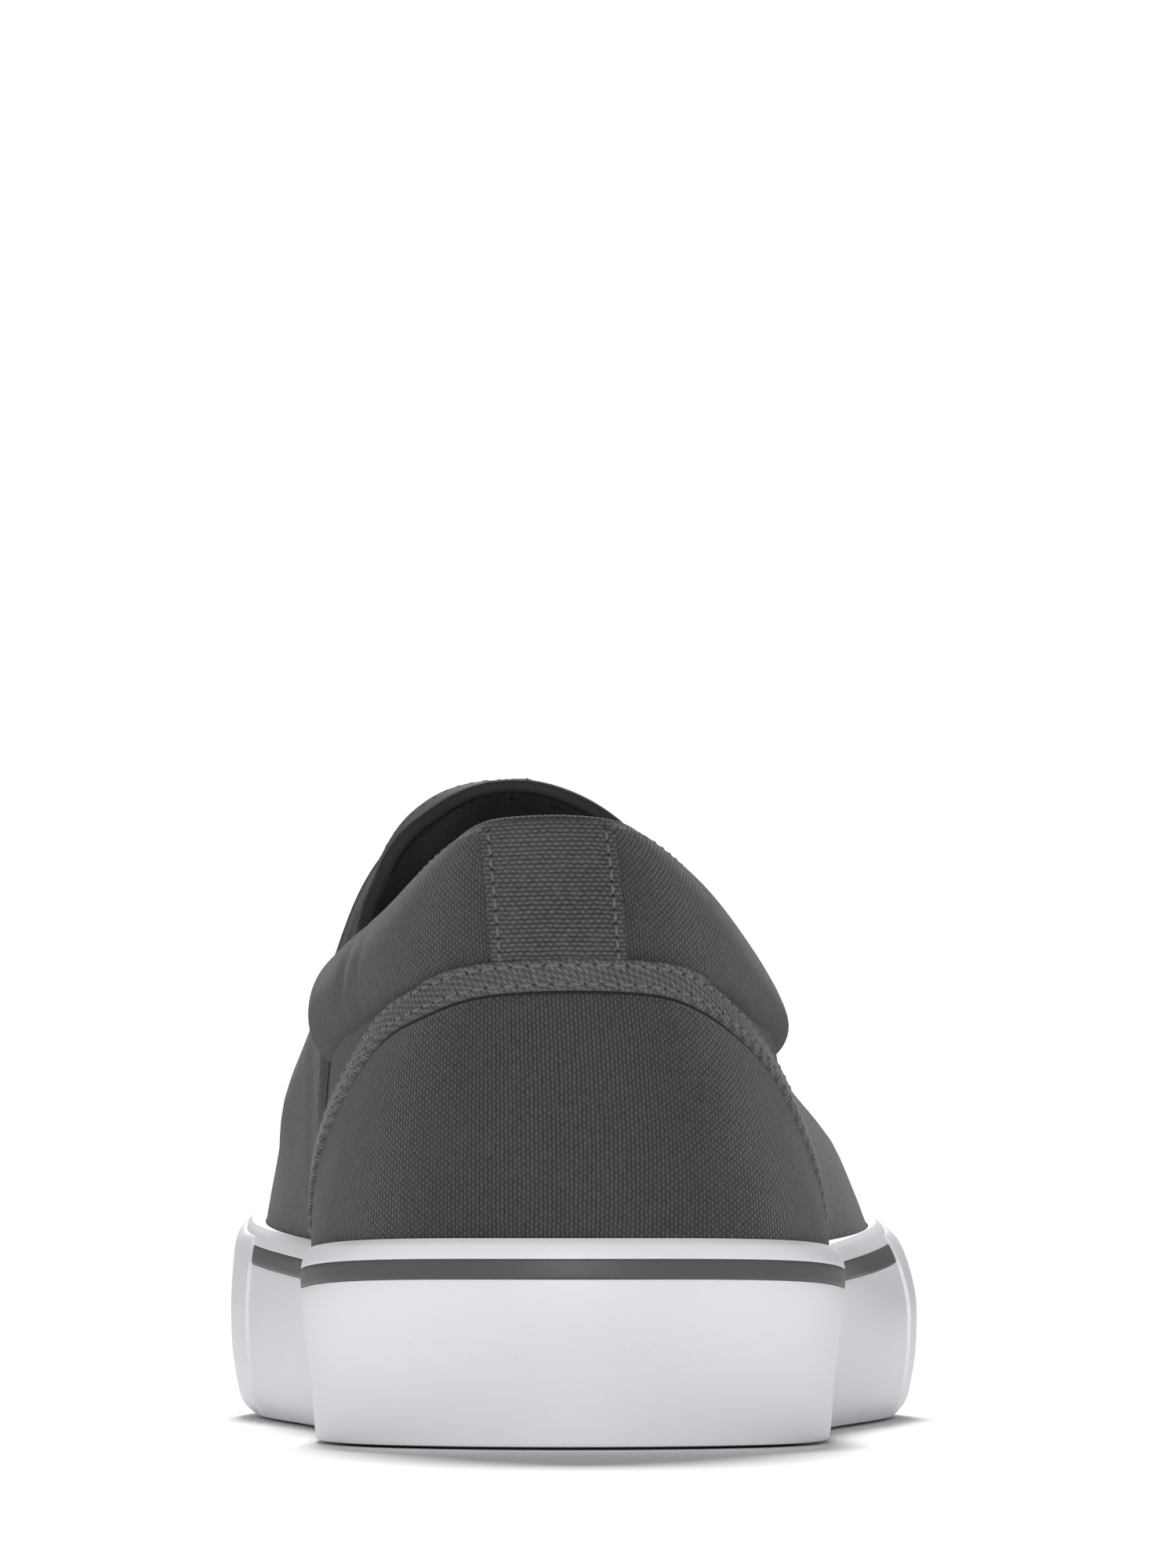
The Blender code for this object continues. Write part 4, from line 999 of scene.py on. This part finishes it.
strip_q, strip_t = (np.stack(rows) for rows in zip(*map(strip_place, strip_across)))
to_rim = np.minimum(strip_across, 1 - strip_across) * STRIP_WIDTH
furrow = STRIP_FURROW * np.exp(-((to_rim - STRIP_ROW) / 0.45) ** 2)
strip_lift = GAP + rounded(strip_across, STRIP_WIDTH, STRIP, STRIP_RIM) - furrow
strip_lift = np.repeat(strip_lift[:, None], len(strip_shares), axis=1)
strip_out = on_grid(upper_outside, strip_q, strip_t, strip_lift)
strip_in = on_grid(upper_outside, strip_q, strip_t, 0.05)
strip_thread = pair((strip_across * STRIP_WIDTH)[:, None], climb(strip_out))
wear(patch("heel_strip_webbing", strip_out, strip_in, WEBBING, strip_thread), "heel_strip")

# %% [markdown]
# ## Cord helper
# A cord is a small circle carried along a row of points. Two directions square to the row are
# needed at each point: the surface normal, straightened, and its cross product with the row.

# %% Cord helper
def squared(upright, along):
    """The upright less its part along the row, at length one."""
    return unit(upright - along * np.sum(upright * along, axis=1)[:, None])


def carry(path, upright, section):
    """A section at every point of a path: its first number goes sideways, its second up."""
    along = unit(np.gradient(path, axis=0))
    up = squared(upright, along)
    side = np.cross(along, up)
    return path[:, None] + side[:, None] * section[..., :1] + up[:, None] * section[..., 1:]


def tube(name, places, finish):
    """Sections joined along the path; each end is closed by joining the section's two halves."""
    columns, rows = places.shape[:2]
    i = np.arange(rows // 2 - 1)
    cap = np.stack([i, i + 1, rows - 2 - i, rows - 1 - i], axis=1)
    body = quads(columns, rows, closed_rows=True).reshape(-1, 4)
    faces = np.concatenate([body, cap, cap + (columns - 1) * rows])
    return bind(name, places.reshape(-1, 3), faces, [finish], sharp=60.0)


def circle(radius, sides=8):
    angle = np.linspace(0, 2 * math.pi, sides, endpoint=False)
    return radius * np.column_stack([np.cos(angle), np.sin(angle)])


def fine_finish(finish, scale, dark, light, relief):
    """Two tones and a relief from one fine noise, for the dark cord of painted shadow and needle
    holes.
    """
    finish.colour(finish.blend(finish.noise(scale), (*dark, 1), (*light, 1)))
    finish.relief(finish.noise(scale), relief)
    return finish.material


# A near-black cord in the groove between the heel panel and its tape: painted shadow under the
# tape's lower edge.
SEAM_SHADOW_CORD = fine_finish(Finish("seam_shadow_cord", 0.9), 1500.0, (0.004, 0.004, 0.005),
                          (0.014, 0.014, 0.016), 0.0001)
seam = beside_edge(0.12)
shadow_cord_path = carry(upper_outside(*seam, 0.75, False), normals(*seam), circle(0.26))
wear(tube("panel_seam_shadow_cord", shadow_cord_path, SEAM_SHADOW_CORD), "counter_tape")

# %% [markdown]
# ## Binding of the throat
# The cut edge in front is wrapped in a smooth binding, from one end of the padding over both
# elastics to the other. Its section is a U that holds the wall: down the outside, round the
# edge and down the inside.

# %% Throat binding
outer_part = np.where((AROUND > GORE_SPAN[0] - 1e-9) & (AROUND < THROAT - 1e-9))[0]
inner_part = np.where((AROUND < -GORE_SPAN[0] + 1e-9) & (AROUND > -THROAT - 1e-9))[0]
throat = np.concatenate([outer_part, inner_part[np.argsort(AROUND[inner_part])]])
place_of = {int(column): i for i, column in enumerate(edge_order)}
throat_roll = rolled[[place_of[int(column)] for column in throat]]
outer_end, inner_end = outside[throat, -1], inside[throat, -1]
middle_of_edge = (outer_end + inner_end) / 2
across_wall = outer_end - inner_end
half_width = np.linalg.norm(across_wall, axis=1)[:, None] / 2
across_wall = across_wall / (2 * half_width)
off = unit(throat_roll.mean(axis=1) - middle_of_edge)
BIND_DEEP, BIND_THICK = 3.1, 0.42
ARM = ((1.0, 0.05), (0.96, 0.6), (0.8, 0.95), (0.5, 1.0), (0.2, 1.0))   # depth, thickness


def at_edge(sideways, beyond):
    """Places across the wall and off its edge, from the middle of the edge."""
    return middle_of_edge + across_wall * sideways + off * beyond


binding_radius = half_width + BIND_THICK
section = [at_edge(half_width + BIND_THICK * fat, -BIND_DEEP * deep) for deep, fat in ARM]
for a in np.delete(np.linspace(0, math.pi, 13), 6):
    section.append(at_edge(binding_radius * math.cos(a), binding_radius * math.sin(a)))
section += [at_edge(-half_width - BIND_THICK * fat, -BIND_DEEP * deep) for deep, fat in ARM[::-1]]
BINDING = Finish("binding", 0.78, **{"Specular IOR Level": 0.25})
fine = BINDING.noise(2200.0, 2.0)
BINDING.colour(BINDING.blend(BINDING.noise(60.0) * 0.6 + fine * 0.4,
                             (0.012, 0.0125, 0.014, 1), (0.040, 0.041, 0.043, 1)))
BINDING.relief(fine, 0.00006)
wear(tube("throat_binding", np.stack(section, axis=1), BINDING.material), "upper")

# %% [markdown]
# ## Elastic gores
# Two elastic inserts let the throat stretch over the foot. The elastic is sewn behind the
# canvas, so its face lies a little deeper, and its cords run up and down.

# %% Gores
ELASTIC_DEEP = 0.18                  # mm below the canvas


def gore_piece(name, node, side):
    """The part of the last between the two edges of the notch, a little below the canvas."""
    u = np.linspace(*GORE_SPAN, 19) * side
    q, t = upper_places(u)
    q, t = q[:, gore_row:].copy(), t[:, gore_row:].copy()
    width = np.linalg.norm(last(q[-1], t[-1]) - last(q[0], t[0]), axis=1)
    step = (q[-1] - q[0]) * 0.12 / width
    q[0] += step
    q[-1] -= step
    t[:, 0] += (t[:, 1] - t[:, 0]) * 0.08
    inwards = -on_grid(normals, q, t)
    crease_depth = crease(q.ravel(), t.ravel()).reshape(*q.shape, 1)
    face = on_grid(last, q, t) + inwards * (ELASTIC_DEEP + crease_depth)
    thread = pair(arc(face), climb(face))
    wear(patch(name, face, face + inwards * GORE, ELASTIC, thread), node)


gore_piece("elastic_outer", "gore_outer", 1.0)
gore_piece("elastic_inner", "gore_inner", -1.0)

# %% [markdown]
# ## White rubber
# The cup sole is moulded rubber: nearly white with a cool cast, half matt, and perfectly
# closed. Its texture is only a trace of the mould and a few specks of dust, and its colour is
# darker low down, near the floor, as painted shade.

# %% Rubber finishes
def rubber(name, colour, spot, roughness, relief, floor_shade=0.0):
    finish = Finish(name, roughness, **{"Specular IOR Level": 0.4})
    cloud = finish.noise(30.0, 3.0)
    grain = finish.noise(2600.0, 2.0)
    speck = finish.clamp(finish.noise(700.0, 4.0), 0.70, 0.76)
    # painted shade: the colour darkens over the lowest 12 mm, towards the floor
    near_floor = finish.clamp(finish.height(), 0.0, 0.012, 1.0, 0.0)
    shade = cloud * 0.35 + speck * 0.25 + near_floor * floor_shade
    finish.colour(finish.blend(finish.clamp(shade, 0.0, 1.0), (*colour, 1), (*spot, 1)))
    finish.put(finish.shader, {"Roughness": finish.clamp(cloud + grain * 0.4, 0.3, 1.1,
                                                        roughness - 0.06, roughness + 0.08)})
    finish.relief(grain * 0.6 + cloud, relief)
    return finish.material


WHITE_RUBBER = rubber("white_rubber", (0.80, 0.792, 0.840), (0.69, 0.683, 0.724), 0.46, 0.00004,
                      0.35)
GREY_RUBBER = rubber("grey_rubber", (0.078, 0.0775, 0.082), (0.062, 0.062, 0.065), 0.50, 0.00003)
TREAD_RUBBER = rubber("tread_rubber", (0.018, 0.021, 0.027), (0.028, 0.030, 0.034), 0.62, 0.00006)
print("rubbers", [m.name for m in (WHITE_RUBBER, GREY_RUBBER, TREAD_RUBBER)])

# %% [markdown]
# ## The cup sole
# The section of the sidewall is carried round the outline, ring by ring. Where two flats meet,
# an extra ring on each side of the corner rounds it, because real moulds have no sharp
# corners and the small highlight there shows the edge.

# %% Cup sole
HALF = 241                           # places on each side of the sole, with heel and toe
SOLE_Q = np.concatenate([np.linspace(0, 1, HALF), np.linspace(-1, 0, HALF)[1:-1]])


def sole_ring(q, height, inset):
    flat = outline(q)
    return np.column_stack([outline(q, inset), height + spring(flat[:, 1]) + np.zeros(len(q))])


def outer_lean(q, height_share, y):
    """The lean, times the square of how far above mid height the place is, on the outer side."""
    along = along_share(y)
    window = ease(along, *LEAN_COMES) * (1 - ease(along, *LEAN_GOES)) * (q > 0)
    return OUTER_LEAN * window * np.clip((height_share - 0.5) / 0.5, 0, 1) ** 2


def wall_ring(q, height, extra=0.0):
    y = outline(q)[:, 1]
    share = height / rim(y)
    return sole_ring(q, height, wall_inset(share, y) + outer_lean(q, share, y) + extra)


def ring_piece(name, rings, finish, capped=True, thread=None):
    """Rings joined in order. A cap joins each place to the one across the shoe."""
    count, total = len(rings[0]), len(rings)
    faces = [quads(count, total, closed_columns=True, closed_rows=not capped).reshape(-1, 4)]
    if capped:
        i = np.arange(count // 2)
        across = np.stack([i, i + 1, (count - i - 1) % count, (count - i) % count], axis=1)
        faces += [across * total + row for row in (0, total - 1)]
    faces = np.concatenate(faces)
    corners = None if thread is None else thread[faces.ravel()]
    points = np.stack(rings, axis=1).reshape(-1, 3)
    return bind(name, points, faces, [finish], None, corners, 40.0)


sole_y = outline(SOLE_Q)[:, 1]
sole_top, stripe_high = rim(sole_y), rim(sole_y) - STRIPE_DROP
stripe_low = stripe_high - STRIPE_HEIGHT
sole_under, sole_seat = TREAD_SHOWS, TREAD + arch(sole_y)
foot_inset = wall_inset(SIDEWALL_SECTION[0][0], sole_y)
rings = [sole_ring(SOLE_Q, height, foot_inset + inwards) for height, inwards in (
    (sole_seat, TREAD_INSET), (sole_under, TREAD_INSET), (sole_under, 0.6),
    (sole_under + 0.08, 0.15))]
for share in (0.012, 0.03, 0.06, 0.10, 0.15, 0.21, 0.28, 0.36, 0.45, 0.54, 0.64, 0.74, 0.84, 0.93):
    rings.append(wall_ring(SOLE_Q, sole_under + (stripe_low - sole_under) * share))
LIP = ((0.25, 0.0), (0.08, 0.03), (0.0, 0.16), (0.0, STRIPE_DEPTH))   # off the groove, inwards
rings += [wall_ring(SOLE_Q, stripe_low - off_groove, deep) for off_groove, deep in LIP]
rings += [wall_ring(SOLE_Q, stripe_high + off_groove, deep) for off_groove, deep in LIP[::-1]]
for share in (0.2, 0.36, 0.5, 0.62, 0.73, 0.82, 0.89, 0.94, 0.975, 1.0):
    rings.append(wall_ring(SOLE_Q, stripe_high + (sole_top - stripe_high) * share))
bed_height = bed(outline(SOLE_Q, SIDEWALL)[:, 1])
for share in (1.0, 0.9, 0.78, 0.62, 0.45, 0.3, 0.15, 0.0):
    height = bed_height + (sole_top + spring(sole_y) - bed_height) * share
    t = rib_at_height(SOLE_Q, height)
    ring = last(SOLE_Q, t) + normals(SOLE_Q, t) * 0.12
    ring[:, 2] = height
    rings.append(ring)
wear(ring_piece("cup_sole", rings, WHITE_RUBBER), "midsole")

# %% [markdown]
# ## The coloured line
# A grey rubber band fills the groove and lies almost flush. It is slightly crowned, so that
# its face catches a soft line of light.

# %% Coloured line
rings = [wall_ring(SOLE_Q, stripe_low + 0.05, STRIPE_DEPTH - 0.1)]
for share in (0.0, 0.04, 0.12, 0.3, 0.5, 0.7, 0.88, 0.96, 1.0):
    crown = 0.10 * (1 - (2 * share - 1) ** 8) - 0.06
    rings.append(wall_ring(SOLE_Q, stripe_low + 0.05 + (STRIPE_HEIGHT - 0.1) * share, -crown))
rings.append(wall_ring(SOLE_Q, stripe_high - 0.05, STRIPE_DEPTH - 0.1))
wear(ring_piece("coloured_line", rings, GREY_RUBBER, capped=False), "foxing_stripe")

# %% [markdown]
# ## The toe layer
# A second layer of white rubber protects the toe. It starts thin at the ball on each side,
# grows to full thickness within a few centimetres, and covers the line.

# %% Toe layer
toe_half = np.linspace(BUMPER_START, 1, 150)
toe_q = np.concatenate([toe_half, -toe_half[-2::-1]])
toe_top, toe_foot = rim(outline(toe_q)[:, 1]) - BUMPER_DROP, TREAD_SHOWS + GAP
grown = 0.35 + 0.65 * ease(abs(toe_q), BUMPER_START, BUMPER_START + 0.05)
toe_full = np.array([0, 0.15, 0.5, 0.8, 0.95] + [1.0] * 12 + [0.97, 0.86, 0.65, 0.35, 0])
toe_share = np.concatenate([[0, 0.004, 0.02, 0.045, 0.08], np.linspace(0.12, 0.88, 12),
                            [0.92, 0.955, 0.98, 0.994, 1.0]])


def toe_face(inset_of):
    return np.stack([wall_ring(toe_q, toe_foot + (toe_top - toe_foot) * share, inset_of(full))
                     for share, full in zip(toe_share, toe_full)], axis=1)


toe_out = toe_face(lambda full: -0.05 - (BUMPER - 0.05) * full * grown)
toe_in = toe_face(lambda full: 0.1)
toe_thread = np.zeros(toe_out.shape[:2] + (2,))
wear(patch("toe_layer", toe_out, toe_in, WHITE_RUBBER, toe_thread), "toe_bumper")

# %% [markdown]
# ## The tread
# The dark tread plate is let into the white rubber, and only a line of it shows. Below it has
# a plain border and blocks that grip. A block is a small frustum; all of them are made at
# once by adding its eight corners to the list of places.

# %% Tread
tread_edge, lift = foot_inset + TREAD_INSET + 0.12, arch(sole_y)
rings = [sole_ring(SOLE_Q, height + lift, tread_edge + inwards) for height, inwards in (
    (LUG_DEPTH, TREAD_BORDER), (LUG_DEPTH, TREAD_BORDER - 0.5), (0.1, TREAD_BORDER - 1.3),
    (0.0, TREAD_BORDER - 1.6), (0.0, 0.5), (0.12, 0.15), (0.5, 0.0), (TREAD - 0.1, 0.0))]
plate = ring_piece("tread_plate", rings, TREAD_RUBBER)

BLOCK, PITCH, SPREAD = 6.2, 8.4, 0.55     # a block, their spacing, and how far its foot widens
border = rings[0]
outer_side, inner_side = border[:HALF], border[np.arange(0, -HALF, -1)]
places = []
for i, y in enumerate(np.arange(border[:, 1].min() + 6, border[:, 1].max() - 5, PITCH * 0.5)):
    x = np.arange(-60, 60, PITCH) + (PITCH / 2 if i % 2 else 0.0)
    right, left = (np.interp(y, side[:, 1], side[:, 0]) for side in (outer_side, inner_side))
    x = x[(x > left + PITCH * 0.42) & (x < right - PITCH * 0.42)]
    places.append(np.column_stack([x, np.full(len(x), y)]))
places = np.concatenate(places)


def block_corners(reach, height):
    """Four corners of every block, standing on the points of a square."""
    corner = np.array([(1, 0), (0, 1), (-1, 0), (0, -1)], float)
    xy = places[:, None, :] + corner * reach
    return np.concatenate([xy, (spring(xy[..., 1]) + arch(xy[..., 1]) + height)[..., None]], -1)


blocks = np.concatenate([block_corners(BLOCK / 2, 0.0),
                         block_corners(BLOCK / 2 + SPREAD, LUG_DEPTH + 0.3)], axis=1)
box_faces = np.array([(0, 1, 2, 3), (7, 6, 5, 4), (0, 4, 5, 1), (1, 5, 6, 2), (2, 6, 7, 3),
                      (3, 7, 4, 0)])
faces = (np.arange(len(blocks))[:, None, None] * 8 + box_faces).reshape(-1, 4)
tread_blocks = bind("tread_blocks", blocks.reshape(-1, 3), faces, [TREAD_RUBBER], sharp=20.0)
wear(plate, "outsole")
wear(tread_blocks, "outsole")
print(len(blocks), "blocks")

# %% [markdown]
# ## The sock inside
# The foot rests on a thin cloth-covered sock. It is dished a little at the heel, and its edge
# turns up against the lining.

# %% Sock
SOCK_CLOTH = cloth("sock_cloth", (0.012, 0.012, 0.0125), (0.045, 0.045, 0.046), 0.7, 0.7, 0.00012)
sock_y = outline(SOLE_Q, SIDEWALL)[:, 1]
rings = []
for share, draw in ((0.0, 1.0), (0.35, 0.15), (0.8, 0.1), (0.94, 0.35), (1.0, 1.1)):
    height = bed(sock_y) + 0.3 + INSOLE * share
    t = rib_at_height(SOLE_Q, height)
    ring = upper_inside(SOLE_Q, t) - normals(SOLE_Q, t) * (0.1 + draw)
    ring[:, 2] = height
    rings.append(ring)
mate = np.concatenate([rings[-1][:1], rings[-1][:0:-1]])
for pull in (0.12, 0.3, 0.5, 0.75, 0.98):
    ring = rings[4] + ((rings[4] + mate) / 2 - rings[4]) * pull
    along = along_share(ring[:, 1])
    dish = 1.3 * (1 - (1 - pull) ** 2) * (0.35 + 0.65 * (1 - ease(along, 0.18, 0.34)))
    ring[:, 2] -= dish * ease(along, 0.0, 0.06) * (1 - ease(along, 0.9, 1.0))
    rings.append(ring)
sock_thread = np.stack(rings, axis=1).reshape(-1, 3)[:, :2]
wear(ring_piece("sock", rings, SOCK_CLOTH, thread=sock_thread), "insole")

# %% [markdown]
# ## Stitches
# A row of stitches is one small thread loop repeated. Each is a bent capsule: eight rings of
# six points along it, which dive into the cloth at both ends. All are placed at once from the
# row's points, directions and normals.

# %% Stitch maker
def spread(points, upright, pitch, start=0.5):
    """Places, directions and normals every pitch millimetres along a row of points."""
    run = arc(points)
    at = np.arange(start * pitch, run[-1] - 0.4 * pitch, pitch)
    place, ahead, up = (np.column_stack([np.interp(where, run, row[:, i]) for i in range(3)])
                        for where, row in ((at, points), (at + 0.3, points), (at, upright)))
    along = unit(ahead - place)
    return place, along, squared(up, along)


RINGS, SIDES = 8, 6


def sew(name, rows, length, thread_radius, finish, node, slot, proud=0.5):
    """Each stitch is a half sine along its length, with a round section that tapers."""
    s = np.linspace(0, 1, RINGS)[:, None]
    a = np.linspace(0, 2 * math.pi, SIDES, endpoint=False)[None, :]
    thick = thread_radius * (0.45 + 0.55 * np.sin(math.pi * s) ** 0.5)
    x = (s - 0.5) * length + 0 * a
    z = np.sin(a) * thick * 0.8 + thread_radius * (np.sin(math.pi * s) * (1 + proud) - 1)
    local = np.stack([x, np.cos(a) * thick, z], axis=-1).reshape(-1, 3)
    place, along, up = (np.concatenate(parts) for parts in zip(*rows))
    frame_of = np.stack([along, np.cross(up, along), up], axis=1)
    points = place[:, None] + local @ frame_of
    k, j = np.meshgrid(np.arange(SIDES), np.arange(RINGS - 1), indexing="ij")
    here, there = j * SIDES + k, j * SIDES + (k + 1) % SIDES
    body = np.stack([here, there, there + SIDES, here + SIDES], -1).reshape(-1, 4)
    caps = np.array([(0, 1, 2, 3), (0, 3, 4, 5), (42, 45, 44, 43), (42, 47, 46, 45)])
    one = np.concatenate([body, caps])
    faces = (np.arange(len(place))[:, None, None] * RINGS * SIDES + one).reshape(-1, 4)
    wear(bind(name, points.reshape(-1, 3), faces, [finish], sharp=80.0), node)


THREAD = Finish("thread", 0.75, **{"Sheen Weight": 0.2})
strand = abs(THREAD.noise(2400.0, 2.0) - 0.5) * 2.0
THREAD.colour(THREAD.blend(strand, (0.10, 0.101, 0.104, 1), (0.21, 0.212, 0.218, 1)))
THREAD.relief(strand, 0.0001)
THREAD = THREAD.material
HOLE = fine_finish(Finish("needle_hole", 0.95), 1800.0, (0.008,) * 3, (0.02,) * 3, 0.00005)
print("thread and needle holes ready")

# %% [markdown]
# ## Sewn rows
# Two rows hold the tape and two the webbing strip. One runs along the collar and one along the
# binding. The thread of the strip sinks between its coarse yarns, so there the needle holes
# show as dark dots.

# %% Rows on the tape and on the heel strip
def holed_rows(seam, node, rows, starts, pitch, stitch, hole, hole_proud):
    """Rows of stitches, and a needle hole half a pitch after each stitch."""
    for part, later, size, finish, proud in (("stitches", 0.0, stitch, THREAD, 0.5),
                                             ("needle_holes", 0.5, hole, HOLE, hole_proud)):
        spaced = [spread(*row, pitch, start + later) for row, start in zip(rows, starts)]
        sew(f"{seam}_{part}", spaced, *size, finish, node, "tape", proud)


def on_cloth(place, lift, creased):
    return upper_outside(*place, lift, creased), normals(*place)


rows = [on_cloth(tape_place(share), tape_lift(share), False) for share in STITCH_LINES]
holed_rows("tape", "counter_tape", rows, (0.5, 0.9), 2.5, (2.1, 0.26), (0.55, 0.24), -0.15)
at_rows = (STRIP_ROW / STRIP_WIDTH, 1 - STRIP_ROW / STRIP_WIDTH)
rows = [on_cloth(strip_place(share), GAP + STRIP - STRIP_FURROW, True) for share in at_rows]
holed_rows("strip", "heel_strip", rows, (0.5, 0.5), 2.05, (1.75, 0.24), (0.62, 0.30), 0.0)

# %% Rows along the collar and the binding
edge_q = np.linspace(-0.322, 0.322, 500)
edge_t = seam_t(edge_q) + (collar_t(edge_q) - seam_t(edge_q)) * 0.955
edge_row = spread(*on_cloth((edge_q, edge_t), 0.0, True), 2.3)
sew("collar_stitches", [edge_row], 1.6, 0.17, THREAD, "upper", "canvas", proud=0.1)
binding_row = spread(at_edge(binding_radius, -BIND_DEEP * 0.72), across_wall, 2.3)
sew("binding_stitches", [binding_row], 1.5, 0.15, THREAD, "upper", "canvas", proud=-0.1)

# %% [markdown]
# ## Floor and light
# The photograph was lit so brightly from all round that floor and wall are one white. A wide
# sheet of paper is the floor, and the white room is the world's colour. A broad, soft sun from
# over the toe makes the floor white up to the horizon and drops the shadow towards the camera.
# A large light in front fills the heel, and two at the sides draw soft edges.

# %% Floor
def sheet_of_paper(half=60.0, steps=13):
    """A flat square grid at z = 0, in millimetres."""
    along = np.linspace(-half, half, steps) * 1000
    x, y = np.meshgrid(along, along, indexing="ij")
    flat = np.stack([x, y, np.zeros_like(x)], axis=-1).reshape(-1, 3)
    return flat, quads(steps, steps).reshape(-1, 4)


PAPER = Finish("paper", 0.9, **{"Specular IOR Level": 0.1})
PAPER.colour(PAPER.blend(PAPER.noise(3.0), (0.93, 0.93, 0.93, 1), (0.95, 0.95, 0.95, 1)))
floor = bind("floor", *sheet_of_paper(), [PAPER.material])

# %% Light
ROOM_LIGHT, ROOM_SEEN = 0.14, 1.1


def aimed(lamp, place, aim):
    made = bpy.data.objects.new(lamp.name, lamp)
    made.location = place
    x, y, z = (np.array(aim) - np.array(place)).tolist()
    made.rotation_euler = (math.atan2(math.hypot(x, y), -z), 0.0, math.atan2(y, x) - math.pi / 2)
    bpy.context.scene.collection.objects.link(made)


def soft_light(name, place, aim, size, power):
    lamp = bpy.data.lights.new(name, "AREA")
    lamp.shape, lamp.size, lamp.energy = "DISK", size, power
    aimed(lamp, place, aim)


sun = bpy.data.lights.new("overhead", "SUN")
sun.energy, sun.angle = 4.1, math.radians(15)
aimed(sun, (-0.10, 2.07, 2.0), (0, 0, 0))
soft_light("front", (0.08, -2.7, 0.35), (0, 0, 0.05), 1.1, 39.0)
soft_light("left", (-1.3, -0.3, 0.6), (0, 0, 0.05), 0.9, 2.2)
soft_light("right", (1.3, -0.2, 0.6), (0, 0, 0.05), 0.9, 1.2)

world = bpy.data.worlds.new("white_room")
world.use_nodes = True
room = world.node_tree
seen = room.nodes.new("ShaderNodeLightPath")
strength = room.nodes.new("ShaderNodeMapRange")
strength.inputs[3].default_value, strength.inputs[4].default_value = ROOM_LIGHT, ROOM_SEEN
room.links.new(seen.outputs["Is Camera Ray"], strength.inputs[0])
room.nodes["Background"].inputs["Color"].default_value = (1.0, 1.0, 1.0, 1)
room.links.new(strength.outputs[0], room.nodes["Background"].inputs["Strength"])
bpy.context.scene.world = world
bpy.context.scene.view_settings.view_transform = "Standard"
print("lights set")
